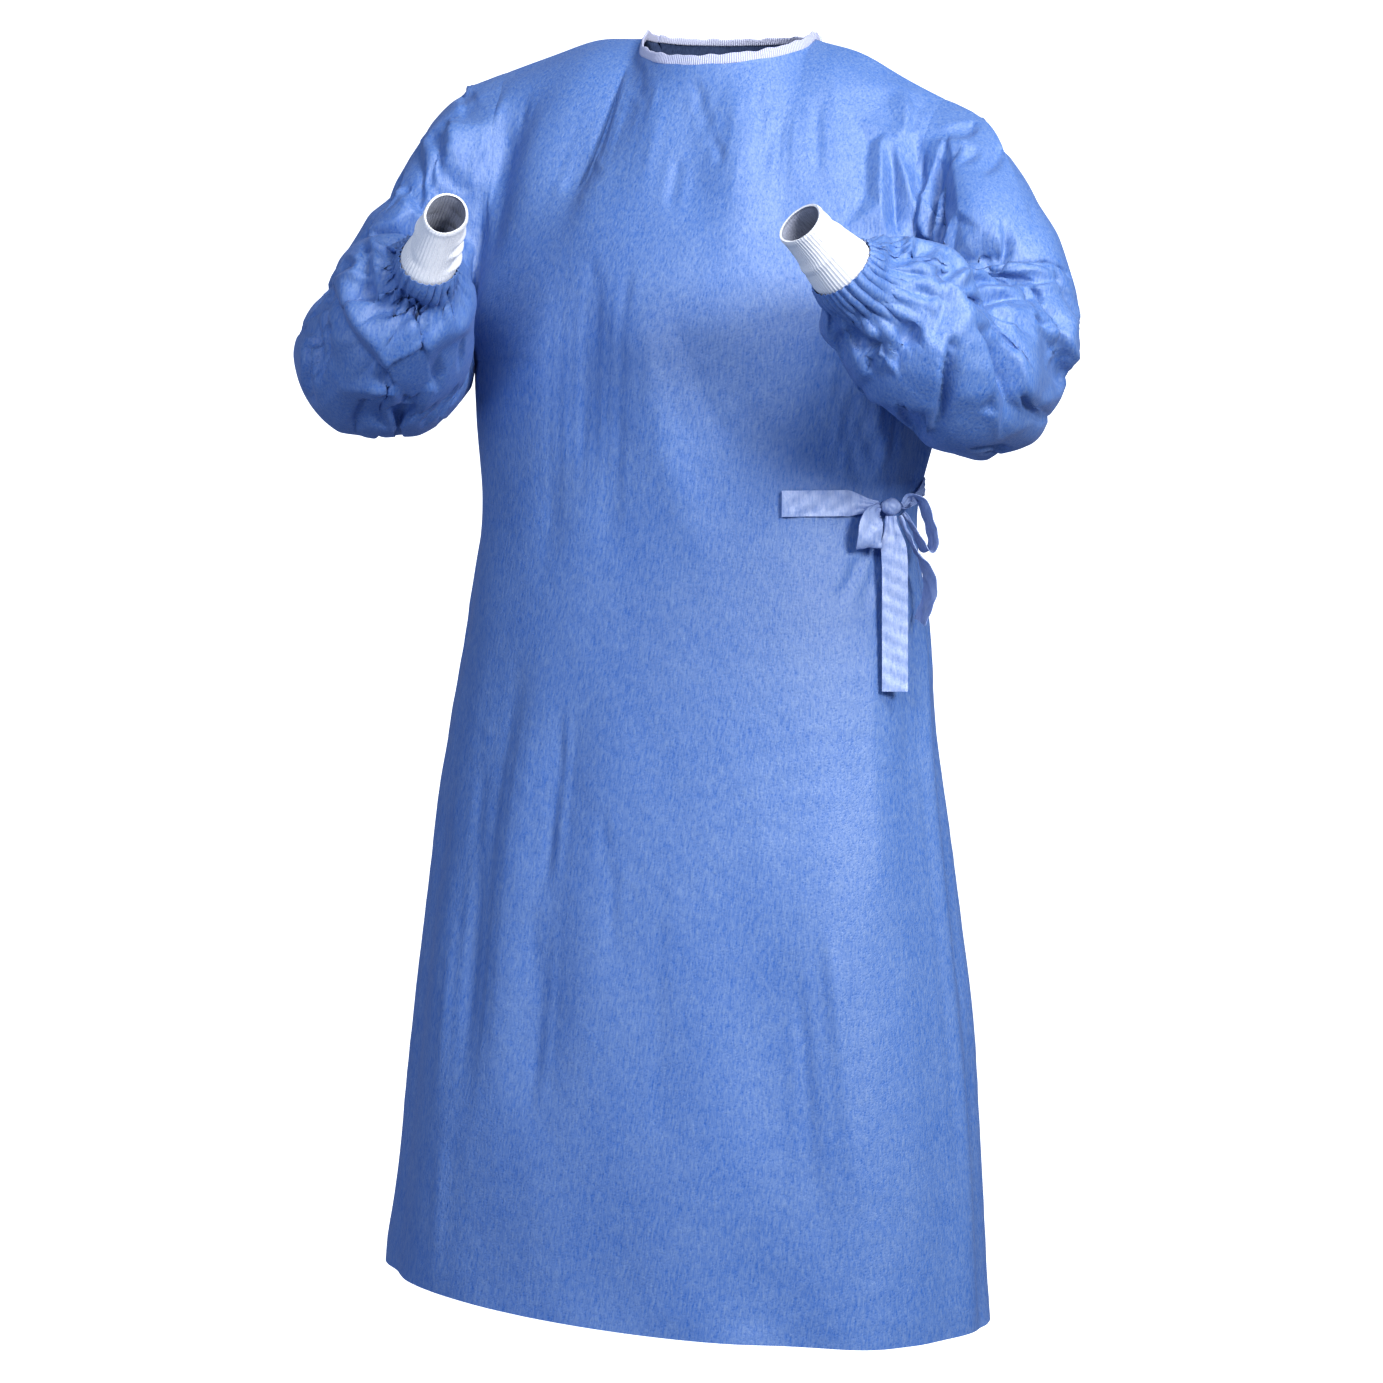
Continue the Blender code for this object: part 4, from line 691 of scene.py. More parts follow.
def hermite(start, start_slope, end, end_slope, t):
    """The cubic that leaves start and reaches end with the given slopes."""
    t2 = t * t
    t3 = t2 * t
    return ((2 * t3 - 3 * t2 + 1) * start + (t3 - 2 * t2 + t) * start_slope
            + (3 * t2 - 2 * t3) * end + (t3 - t2) * end_slope)


def read_table(table, at):
    """The table's columns at each place of the first one: a cubic between each two rows."""
    knots = table[:, 0]
    values = table[:, 1:]
    slopes = np.gradient(values, knots, axis=0)
    order = 1.0 if knots[-1] > knots[0] else -1.0
    place = np.clip(np.searchsorted(knots * order, np.asarray(at) * order) - 1, 0, len(knots) - 2)
    span = knots[place + 1] - knots[place]
    t = np.clip((at - knots[place]) / span, -0.2, 1.0)[..., None]
    return hermite(values[place], slopes[place] * span[..., None],
                   values[place + 1], slopes[place + 1] * span[..., None], t)


def unit(vectors):
    """The vectors at length 1."""
    return vectors / np.maximum(np.linalg.norm(vectors, axis=-1, keepdims=True), 1e-12)


def distance_along(path):
    """Distance along a path at each of its points."""
    steps = np.linalg.norm(np.diff(path, axis=0), axis=1)
    return np.concatenate([[0.0], np.cumsum(steps)])


def grid_normals(points, closed=False):
    """Outward normals: the way across a grid crossed with the way up it."""
    if closed:
        across = np.roll(points, -1, axis=1) - np.roll(points, 1, axis=1)
    else:
        across = np.gradient(points, axis=1)
    return unit(np.cross(across, np.gradient(points, axis=0)))


def ease(values, passes, closed):
    """Each value moved to the mean of itself and its four neighbours, some times over."""
    for _ in range(passes):
        if closed:
            beside = np.roll(values, 1, axis=1) + np.roll(values, -1, axis=1)
        else:
            wide = np.pad(values, ((0, 0), (1, 1)), mode="edge")
            beside = wide[:, 2:] + wide[:, :-2]
        tall = np.pad(values, ((1, 1), (0, 0)), mode="edge")
        values = (values * 2.0 + beside + tall[2:] + tall[:-2]) / 6.0
    return values


# ---------------------------------------------------------------- the body's plain form

def outward(angle):
    """The level direction that faces away from the body at an angle round it."""
    turn = np.radians(angle)
    return np.stack([np.sin(turn), -np.cos(turn), np.zeros_like(turn)], axis=-1)


def fold_height(angle, height):
    """The sum of all soft folds: each is a bell across its slanting line, faded at both ends."""
    total = np.zeros(np.broadcast(angle, height).shape)
    for top_angle, top_z, low_angle, low_z, width, depth in FOLDS:
        share = np.clip((top_z - height) / (top_z - low_z), 0.0, 1.0)
        centre = top_angle + (low_angle - top_angle) * share
        aside = np.radians(angle_from(centre, angle)) * FOLD_RADIUS
        fade = fade_ends(share, 0.25, 0.35)
        total = total + depth * fade * np.exp(-(aside / width) ** 2)
    return total


def ring_point(angle, height):
    """The body below the underarm: half ellipses of the level's half width and depths."""
    sizes = read_table(BODY, height)
    turn = np.radians(angle)
    depth = np.where(np.cos(turn) > 0.0, sizes[..., 3], sizes[..., 4])
    x = sizes[..., 0] + sizes[..., 2] * np.sin(turn)
    low = np.clip((UNDERARM_Z - height) / (UNDERARM_Z - HEM_Z), 0.0, 1.0)
    return np.stack([x, sizes[..., 1] - depth * np.cos(turn), height + HEM_TILT * x * low ** 2],
                    axis=-1)


def neck_share(angle):
    """-1 to 1 along the neckline of the half that an angle lies on, past that the shoulder."""
    turn = angle_from(0.0, angle)
    half = np.where(np.abs(turn) < 90.001, turn, np.sign(turn) * 180.0 - turn)
    return half / 90.0


def top_edge(angle, back):
    """Where a column ends: a half ellipse round the neck, then an arched shoulder line."""
    share = neck_share(angle)
    side = np.where(share < 0.0, -1, 1)
    sizes = {key: np.where(side < 0, SHOULDERS[-1][key], SHOULDERS[1][key])
             for key in ("neck_z", "tip_x", "tip_z", "arch")}
    depth, middle_z, way = ((NECK_BACK_DEPTH, NECK_BACK_Z, 1.0) if back
                            else (NECK_FRONT_DEPTH, NECK_FRONT_Z, -1.0))
    turn = np.clip(share / NECK_SHARE, -1.0, 1.0) * np.pi / 2
    round_part = np.maximum(np.cos(turn), 0.0)
    along = np.clip((np.abs(share) - NECK_SHARE) / (1.0 - NECK_SHARE), 0.0, 1.0)
    x = NECK_HALF * np.sin(turn) + along * (sizes["tip_x"] - side * NECK_HALF)
    z = (sizes["neck_z"] + (middle_z - sizes["neck_z"]) * round_part ** 0.8
         + along * (sizes["tip_z"] - sizes["neck_z"]) + sizes["arch"] * np.sin(np.pi * along))
    return np.stack([x, way * depth * round_part, z], axis=-1), round_part, along


def upper_point(angle, share, back):
    """The body above the underarm: a cubic for each column, from the underarm's level to the
    top edge.  It leaves straight up, or towards the front or back beside the armhole, and it
    arrives level at the shoulder and steeply at the neckline."""
    way = 1.0 if back else -1.0
    start = ring_point(angle, UNDERARM_Z * np.ones_like(angle))
    end, round_part, along = top_edge(angle, back)
    side = np.sign(end[..., 0])
    edge = smoothstep(np.abs(neck_share(angle))) ** 3
    zero = np.zeros_like(angle)
    rise = np.stack([zero, zero, COLUMN_RISE + zero], axis=-1)
    sweep = np.stack([-side * ARMHOLE_DRAW, way * ARMHOLE_SWELL + zero, ARMHOLE_RISE + zero],
                     axis=-1)
    leave = rise * (1.0 - edge)[..., None] + sweep * edge[..., None]
    over = np.stack([side * SHOULDER_REACH * along, -way * TOP_RUN + zero, TOP_RISE + zero],
                    axis=-1)
    steep = np.stack([zero, -way * TOP_RISE + zero, NECK_RISE + zero], axis=-1)
    arrive = over * (1.0 - round_part)[..., None] + steep * round_part[..., None]
    return hermite(start, leave, end, arrive, share[..., None])


def body_grid(angles, back):
    """A row for each level from the hem up and a column for each angle, with the soft folds."""
    down = np.linspace(HEM_Z, UNDERARM_Z, ROWS_DOWN + 1)[:-1]
    angle, height = np.meshgrid(angles, down)
    lower = ring_point(angle, height)
    angle_up, share = np.meshgrid(angles, np.linspace(0.0, 1.0, ROWS_UP + 1))
    points = np.concatenate([lower, upper_point(angle_up, share, back)])
    for x, z, reach, rise in SHOULDER_LIFTS:
        near = np.exp(-((points[..., 0] - x) / reach) ** 2 - ((points[..., 2] - z) / 0.05) ** 4)
        points[..., 2] += rise * near
    every_angle = np.broadcast_to(angles, points.shape[:2])
    fade = np.concatenate([np.ones(ROWS_DOWN), 1.0 - np.linspace(0.0, 1.0, ROWS_UP + 1) ** 6])
    lift = fold_height(every_angle, points[..., 2]) * fade[:, None]
    return points + outward(every_angle) * lift[..., None]


def lower_surface(angle, height):
    """A point of the softly folded body below the underarm."""
    return ring_point(angle, height) + outward(angle) * fold_height(angle, height)[..., None]


def front_angles():
    """The columns of the front panel, closest at the neck."""
    neck = NECK_SHARE * 90.0
    return np.concatenate([np.linspace(-90.0, -neck, SHOULDER_CELLS + 1),
                           np.linspace(-neck, neck, NECK_CELLS + 1)[1:],
                           np.linspace(neck, 90.0, SHOULDER_CELLS + 1)[1:]])


def back_angles(far_share, side):
    """The columns of a back panel, from the wearer's left to the right."""
    neck = NECK_SHARE * 90.0
    shoulder = np.linspace(90.0, 180.0 - neck, SHOULDER_CELLS + 1)
    across = np.linspace(180.0 - neck, 180.0 - side * far_share * 90.0, BACK_SIDE_CELLS + 1)
    left_side = np.concatenate([shoulder, across[1:]])
    return left_side if side > 0 else 360.0 - left_side[::-1]


def flap_lift(points, angles):
    """How far the outer back panel lies outside the body's plain surface."""
    neck_angle = 180.0 + NECK_SHARE * 90.0
    over = smoothstep((neck_angle - angles) / OVERLAP_ANGLE)
    edge = 180.0 - FLAP_SHARE * 90.0
    near_edge = smoothstep((edge + FLARE_ANGLE - angles) / FLARE_ANGLE)
    low = smoothstep((FLARE_TOP - points[..., 2]) / FLARE_RUN)
    return LAYER * over + FLAP_FLARE * near_edge * low


# ---------------------------------------------------------------- creases

def view_directions():
    """The viewer's right, up and forward directions."""
    turn, dip = np.radians(VIEW_TURN), np.radians(VIEW_DIP)
    right = np.array((np.cos(turn), np.sin(turn), 0.0))
    forward = np.array((-np.sin(turn) * np.cos(dip), np.cos(turn) * np.cos(dip), -np.sin(dip)))
    return right, np.cross(right, forward), forward


def seen_at(points):
    """Millimetres across and up from the origin at which the viewer sees each point: its
    offsets from the eye, divided by its depth and multiplied by the origin's."""
    right, up, forward = view_directions()
    apart = points - EYE
    scale = 1000.0 * (-EYE @ forward) / (apart @ forward)
    return apart @ right * scale + EYE @ right * 1000.0, apart @ up * scale + EYE @ up * 1000.0


def facing_eye(points, normals):
    """Cosine of the angle between each normal and the way to the eye."""
    return np.sum(unit(EYE - points) * normals, axis=-1)


def seen_creases(points, normals, table, least=SEEN_LEAST):
    """Heights of the creases laid out for the viewer.  Across its line a crease falls off as
    exp(-(distance / width) ^ crispness), and it fades at both ends.  It is left out of cloth
    that faces away by more than the least cosine."""
    across, up = seen_at(points)
    total = np.zeros(across.shape)
    for across0, up0, across1, up1, bow, left, right, height, crisp, start in table:
        way = np.array((across1 - across0, up1 - up0))
        length = np.hypot(*way)
        way = way / length
        share = ((across - across0) * way[0] + (up - up0) * way[1]) / length
        inside = np.clip(share, 0.0, 1.0)
        aside = (up - up0) * way[0] - (across - across0) * way[1] - bow * 4 * inside * (1 - inside)
        width = np.where(aside > 0.0, left, right) * (start + (1.0 - start) * inside)
        fade = fade_ends(share, 0.28, 0.34)
        total += height * fade * np.exp(-(np.hypot(aside, SEEN_CREST) / width) ** crisp)
    return total * MM * smoothstep((facing_eye(points, normals) - least) / SEEN_FADE)


def facets(points, normals, lines):
    """Heights that are flat between the lines: in each of the triangles that join neighbouring
    points of the lines, the height at a place is its corners' by barycentric weights.  They
    fade out in cloth that faces away."""
    across, up = seen_at(points)
    spots = np.concatenate([np.array(line, dtype=float) for line in lines])
    ends = set(np.cumsum([len(line) for line in lines]).tolist())
    edges = [(i, i + 1) for i in range(len(spots) - 1) if i + 1 not in ends]
    # 0 asks for all triangles, and points that are less than the last value apart are one
    made = delaunay_2d_cdt([Vector(spot[:2]) for spot in spots.tolist()], edges, [], 0, 0.001)
    total = np.zeros(across.shape)
    for corners in made[2]:
        if not all(made[3][corner] for corner in corners):
            continue
        (x0, y0, h0), (x1, y1, h1), (x2, y2, h2) = (spots[made[3][corner][0]]
                                                    for corner in corners)
        area = (x1 - x0) * (y2 - y0) - (x2 - x0) * (y1 - y0)
        second = ((across - x0) * (y2 - y0) - (up - y0) * (x2 - x0)) / area
        third = ((up - y0) * (x1 - x0) - (across - x0) * (y1 - y0)) / area
        inside = (second >= 0.0) & (third >= 0.0) & (second + third <= 1.0)
        total[inside] = (h0 + second * (h1 - h0) + third * (h2 - h0))[inside]
    return total * MM * smoothstep(facing_eye(points, normals) / SEEN_FADE)


def surface_creases(angle, level, radius, table):
    """Heights of creases laid out on the surface itself: a line from one angle and level to
    another, with the same falling off across it and fading at its ends."""
    total = np.zeros(np.broadcast(angle, level).shape)
    for angle0, level0, angle1, level1, left, right, height, crisp in table:
        share = (level - level0) / (level1 - level0)
        centre = angle0 + (angle1 - angle0) * np.clip(share, 0.0, 1.0)
        aside = np.radians(angle_from(centre, angle)) * radius
        width = np.where(aside > 0.0, right, left)
        fade = fade_ends(share, 0.25, 0.3)
        total += height * fade * np.exp(-(np.hypot(aside, SURFACE_CREST) / width) ** crisp)
    return total * MM


def crumple(points):
    """Fine ridges in all directions: the sum of 1 - |sin| of slanting waves that are bent by
    one another, with a mean of about 0."""
    x, y, z = points[..., 0], points[..., 1], points[..., 2]
    total = np.zeros(x.shape)
    for a, b, c, phase, share in ((71, 33, 52, 0.3, 0.36), (-44, 60, 83, 1.9, 0.30),
                                  (95, -58, -40, 4.1, 0.20), (38, 105, -97, 2.7, 0.14)):
        bend = 1.6 * np.sin(0.41 * (b * x - c * y + a * z) + phase)
        patch = 0.5 + 0.5 * np.sin(0.17 * (c * x + a * y - b * z) + 2.0 * phase)
        total += share * patch * (0.36 - np.abs(np.sin(a * x + b * y + c * z + bend + phase)))
    return total


def edge_distance(points, column):
    """Distance along each row from one of the grid's two outer columns."""
    steps = np.linalg.norm(np.diff(points, axis=1), axis=2)
    along = np.concatenate([np.zeros((len(points), 1)), np.cumsum(steps, axis=1)], axis=1)
    return along if column == 0 else along[:, -1:] - along


def seam(distance):
    """A narrow groove on a seam line with a low ridge where the seam's fold lies under it."""
    return (SEAM_GROOVE * 0.45 * np.exp(-((distance - 1.9 * SEAM_WIDTH) / (1.1 * SEAM_WIDTH)) ** 2)
            - SEAM_GROOVE * np.exp(-(distance / SEAM_WIDTH) ** 2))


def seam_lines(points, sides):
    """Seam grooves of a body panel: down its side edges, and along the shoulders."""
    total = np.zeros(points.shape[:2])
    for column in sides:
        total += seam(edge_distance(points, column))
    steps = np.linalg.norm(np.diff(points, axis=0), axis=2)
    below_top = np.concatenate([np.cumsum(steps[::-1], axis=0)[::-1],
                                np.zeros((1, points.shape[1]))])
    shoulder = np.zeros(points.shape[1])
    for column in sides:
        ends = slice(0, SHOULDER_CELLS) if column == 0 else slice(-SHOULDER_CELLS, None)
        shoulder[ends] = 1.0
    return total + seam(below_top) * shoulder


def keep_edges(points, moved, sides):
    """Moved points that return to their first places at the neckline and shoulders, and
    towards the named side edges below the underarm."""
    rows = np.arange(len(points))[:, None]
    hold = np.ones(points.shape[:2])
    for column in sides:
        near = smoothstep(edge_distance(points, column) / EDGE_REACH)
        above = smoothstep((rows - ROWS_DOWN) / EDGE_ROWS)
        hold *= near + (1.0 - near) * above
    hold *= smoothstep((len(points) - 1 - rows) / (EDGE_TOP * len(points)))
    return points + (moved - points) * hold[..., None]


# ---------------------------------------------------------------- settling of the cloth

def next_column(values, closed):
    """The values one column further on; an open sheet has none beside its last column."""
    return np.concatenate([values[:, 1:], values[:, :1]], axis=1) if closed else values[:, 1:]


def thread_ends(points, thread, closed):
    """The first and second points of all pairs that one direction of thread joins."""
    first, second = points[thread[0]], points[thread[1]]
    if thread[2]:
        second = next_column(second, closed)
    return first[:, :second.shape[1]], second


def draw_thread(points, thread, length, closed):
    """Move both ends of each pair towards its length, each by the same part of the misfit."""
    first, second = thread_ends(points, thread, closed)
    gap = second - first
    size = np.sqrt(np.einsum("ijk,ijk->ij", gap, gap)) + 1e-9
    move = gap * (0.5 * thread[3] * (size - length) / size)[..., None]
    first += move
    if not thread[2]:
        points[thread[1]] -= move
    elif closed:
        points[thread[1]] -= np.concatenate([move[:, -1:], move[:, :-1]], axis=1)
    else:
        points[thread[1]][:, 1:] -= move


def bend_twice(points, closed):
    """The second difference of the second difference across and up the grid."""
    total = np.zeros_like(points)
    if closed:
        wide = np.concatenate([points[:, -2:], points, points[:, :2]], axis=1)
        bend = wide[:, 2:] + wide[:, :-2] - 2.0 * wide[:, 1:-1]
        total += bend[:, 2:] + bend[:, :-2] - 2.0 * bend[:, 1:-1]
    else:
        bend = points[:, 2:] + points[:, :-2] - 2.0 * points[:, 1:-1]
        total[:, 2:-2] += bend[:, 2:] + bend[:, :-2] - 2.0 * bend[:, 1:-1]
    bend = points[2:] + points[:-2] - 2.0 * points[1:-1]
    total[2:-2] += bend[2:] + bend[:-2] - 2.0 * bend[1:-1]
    return total


def settle(start, aim, slack, give, rounds, stiffness, closed, side):
    """Buckle a sheet that is cut longer and wider than the form it lies on.

    A thread's length is its length on the form times the slack of its way, up or across.
    Every round draws all threads towards their lengths, takes the twofold bend times the
    stiffness from each point, and brings back what has gone farther from its place on the
    form than its give, or farther outwards than a part of it.  The edges stay."""
    points = start.copy()
    out = grid_normals(aim, closed) * side
    lengths = []
    for thread in THREADS:
        first, second = thread_ends(aim, thread, closed)
        ways = [slack[way][thread[0]][:, :second.shape[1]] for way in thread[4]]
        looser = sum(ways) / len(ways)
        lengths.append(np.linalg.norm(second - first, axis=-1) * looser)
    for count in range(rounds):
        for thread, length in zip(THREADS, lengths):
            draw_thread(points, thread, length, closed)
        points -= stiffness * bend_twice(points, closed)
        away = points - aim
        size = np.sqrt(np.einsum("ijk,ijk->ij", away, away)) + 1e-9
        beyond = np.maximum(size - give, 0.0)
        points -= away * (PULL_BACK * beyond / size + SETTLE_HOLD)[..., None]
        if count % PUSH_EVERY == 0:
            proud = np.einsum("ijk,ijk->ij", away, out) - OUTWARD_GIVE * give
            points -= (PUSH_IN * np.maximum(proud, 0.0))[..., None] * out
        for edge in (np.s_[0], np.s_[-1]) + (() if closed else (np.s_[:, 0], np.s_[:, -1])):
            points[edge] = aim[edge]
    return points


def spread_matrix(count, knots, closed):
    """Weights that carry values from the picked points to all, in straight lines between."""
    at = np.arange(count)
    knots = np.append(knots, count) if closed else knots
    after = np.clip(np.searchsorted(knots, at, side="right"), 1, len(knots) - 1)
    share = (at - knots[after - 1]) / (knots[after] - knots[after - 1])
    weights = np.zeros((count, len(knots)))
    weights[at, after - 1] = 1.0 - share
    weights[at, after] += share
    if closed:
        weights[:, 0] += weights[:, -1]
        weights = weights[:, :-1]
    return weights


def settle_in_steps(aim, slack, give, steps, closed=False, side=1):
    """Settle a coarse grid of the cloth first, and then finer ones, each from the last.

    The first has a low unevenness of seeded noise, which the folds start from."""
    shift = np.zeros_like(aim)
    noise = np.random.default_rng(5)
    slack = [np.broadcast_to(part, aim.shape[:2]) for part in slack]
    give = np.broadcast_to(give, aim.shape[:2])
    for row_step, column_step, rounds, stiffness in steps:
        rows = np.arange(0, len(aim), row_step)
        columns = np.arange(0, aim.shape[1], column_step)
        rows[-1] = len(aim) - 1
        if not closed:
            columns[-1] = aim.shape[1] - 1
        pick = np.ix_(rows, columns)
        form = aim[pick]
        start = form + shift[pick]
        if (row_step, column_step) == steps[0][:2]:
            uneven = SETTLE_NOISE * ease(noise.standard_normal(form.shape[:2]), 2, closed)
            start = start + grid_normals(form, closed) * uneven[..., None]
        moved = settle(start, form, [part[pick] for part in slack], give[pick], rounds,
                       stiffness, closed, side)
        shift = np.einsum("ab,bcd->acd", spread_matrix(len(aim), rows, False), moved - form)
        shift = np.einsum("ab,cbd->cad", spread_matrix(aim.shape[1], columns, closed), shift)
    return aim + shift


@functools.lru_cache(maxsize=2)
def body_grids(crease_scale):
    """The three panels with all their creases, by name, and the armholes' loops."""
    angles = {"front": front_angles(), "left": back_angles(UNDER_SHARE, 1),
              "right": back_angles(FLAP_SHARE, -1)}
    grids = {key: body_grid(angles[key], key != "front") for key in angles}
    lift = flap_lift(grids["right"], angles["right"])
    spread = np.broadcast_to(angles["right"], lift.shape)
    grids["right"] = grids["right"] + outward(spread) * lift[..., None]
    seamed = {"front": (0, -1), "left": (0,), "right": (-1,)}
    for key, points in grids.items():
        normals = grid_normals(points)
        spread = np.broadcast_to(angles[key], points.shape[:2])
        height = surface_creases(spread, points[..., 2], FOLD_RADIUS, BACK_CREASES)
        if key == "front":
            height = height + FRONT_DEPTH * seen_creases(points, normals, FRONT_CREASES)
            height = height + seen_creases(points, normals, ARMHOLE_CREASES)
        height = height * crease_scale
        layered = 1.0
        if key == "left":
            layered = smoothstep((180.0 - NECK_SHARE * 90.0 - spread) / 20.0)
        moved = keep_edges(points, points + normals * (height * layered)[..., None], seamed[key])
        low = smoothstep((-0.30 - points[..., 2]) / 0.4)
        slack = (1.0, 1.0 + (BODY_SLACK[0] + BODY_SLACK[1] * low) * layered)
        moved = settle_in_steps(moved, slack, BODY_GIVE * layered, BODY_STEPS)
        fine = CRUMPLE * crumple(points) * layered
        normals = grid_normals(moved)
        if key == "front":
            fine = fine + CRISP_FRONT * seen_creases(moved, normals, FRONT_CREASES)
            above = smoothstep((seen_at(moved)[1] - FACET_LOW) / 40.0)
            fine = fine + FACET_DEPTH * above * facets(moved, normals, SLEEVE_FACETS[1])
        fine = keep_edges(moved, moved + normals * (fine * crease_scale)[..., None], seamed[key])
        grids[key] = fine + normals * seam_lines(points, seamed[key])[..., None]
    return grids, {side: armhole_loop(grids, side) for side, _ in SIDES}


def armhole_loop(grids, side):
    """The armhole's points: from the shoulder down the front and up the back."""
    back = grids["left" if side > 0 else "right"]
    front_edge = grids["front"][ROWS_DOWN:, -1 if side > 0 else 0]
    back_edge = back[ROWS_DOWN:, 0 if side > 0 else -1]
    return np.concatenate([front_edge[::-1], back_edge[1:-1]])


# ---------------------------------------------------------------- sleeves

def sleeve_path(loop, arm):
    """Centre line of a sleeve: straight, an arc round the crook, straight, then the cuff.

    Returns points, the place of each (-1 at the armhole, 0 and 1 at the bend's ends, 2 at the
    wrist, 3 at the cuff's end), and the outer and forward directions at each."""
    centre = loop.mean(axis=0)
    crook, wrist, cuff_end = (np.array(arm[key]) for key in ("crook", "wrist", "cuff_end"))
    first = unit(centre - crook)
    to_wrist = unit(wrist - crook)
    second = unit(first * np.dot(to_wrist, first) - to_wrist)
    start_turn = np.arccos(BEND_RADIUS / np.linalg.norm(centre - crook))
    wrist_turn = np.arctan2(np.dot(wrist - crook, second), np.dot(wrist - crook, first))
    end_turn = (wrist_turn % (2 * np.pi)
                - np.arccos(BEND_RADIUS / np.linalg.norm(wrist - crook)))
    turns = np.linspace(start_turn, end_turn, 41)
    arc = crook + BEND_RADIUS * (np.cos(turns)[:, None] * first + np.sin(turns)[:, None] * second)
    upper = centre + (arc[0] - centre) * np.linspace(0.0, 1.0, 31)[:-1, None]
    lower = arc[-1] + (wrist - arc[-1]) * np.linspace(0.0, 1.0, 41)[1:, None]
    cuff = wrist + (cuff_end - wrist) * np.linspace(0.0, 1.0, 21)[1:, None]
    points = np.concatenate([upper, arc, lower, cuff])
    place = np.concatenate([np.linspace(-1, 0, 31)[:-1], np.linspace(0, 1, 41),
                            np.linspace(1, 2, 41)[1:], np.linspace(2, 3, 21)[1:]])
    outer = np.cos(start_turn) * first + np.sin(start_turn) * second
    return points, place, carry_frame(points, outer)


def carry_frame(points, outer):
    """The outer direction carried along a path without twist."""
    along = unit(np.gradient(points, axis=0))
    frame = [unit(outer - along[0] * np.dot(outer, along[0]))]
    for direction in along[1:]:
        frame.append(unit(frame[-1] - direction * np.dot(frame[-1], direction)))
    return np.array(frame), along


def path_at(path, place, side):
    """Centre, outer and over directions at the given places of a sleeve's path."""
    points, places, (outer, along) = path
    centre, out, way = (np.stack([np.interp(place, places, line[:, i]) for i in range(3)], axis=-1)
                        for line in (points, outer, along))
    return centre, unit(out), side * np.cross(unit(way), unit(out))


def rings_about(frame, radius, angles):
    """Points at a distance and angle round the centre line, a ring for each row."""
    centre, out, over = frame
    spokes = np.cos(angles)[..., None] * out[:, None] + np.sin(angles)[..., None] * over[:, None]
    return centre[:, None] + radius[..., None] * spokes


def sleeve_radius(place, theta, side):
    """Distance from the centre line: quarter ellipses of the four half sizes, and soft folds."""
    sizes = read_table(SLEEVES[side], place)
    towards = np.where(np.cos(theta) > 0.0, sizes[..., 0], sizes[..., 1])
    aside = np.where(np.sin(theta) > 0.0, sizes[..., 2], sizes[..., 3])
    total = 1.0 / np.sqrt((np.cos(theta) / towards) ** 2 + (np.sin(theta) / aside) ** 2)
    for along, angle, length, spread, height in SLEEVE_FOLDS[side]:
        around = angle_from(angle, np.degrees(theta))
        window = np.exp(-(around / spread) ** 4)
        total = total + height * window * np.exp(-((place - along) / length) ** 2)
    return total


def cuff_radius(share, theta, side):
    """An oval whose wide axis is turned against the sleeve's outer direction."""
    sizes = read_table(CUFFS[side], share)
    angle = theta - np.radians(ARMS[side]["cuff_turn"])
    return 1.0 / np.sqrt((np.cos(angle) / sizes[..., 0]) ** 2
                         + (np.sin(angle) / sizes[..., 1]) ** 2)


def gathers(level, theta, count, depth):
    """Pleats above the wrist seam: the size of a cosine round the sleeve, to a power.  Its
    spacing, height and reach vary with slow sines."""
    phase = count * theta + 1.3 * np.sin(3 * theta + 0.7) + 0.9 * np.sin(5 * theta + 2.1)
    reach = GATHER_REACH + 0.04 * np.sin(4 * theta + 0.4) + 0.04 * np.sin(9 * theta)
    size = 0.65 + 0.25 * np.sin(2 * theta + 1.0) + 0.25 * np.sin(7 * theta + 0.5)
    fade = smoothstep((level - 2.0 + reach + 0.08) / reach)
    shape = np.abs(np.cos(phase / 2)) ** 0.8 - 0.6
    return depth * size * fade * shape


def upper_sleeve(loop, rings, side):
    """Rings from the armhole to the start of the bend, a cubic for each column."""
    reach = np.linalg.norm(rings[0] - loop, axis=-1, keepdims=True)
    away = unit(np.array([side * 1.0, -0.12, SLEEVE_DROP[side]]))
    arrive = unit(rings[1] - rings[0])
    t = np.linspace(0.0, 1.0, UPPER_ROWS + 1)[:, None, None]
    return hermite(loop, away * reach, rings[0], arrive * reach * SLEEVE_ARRIVE, t)


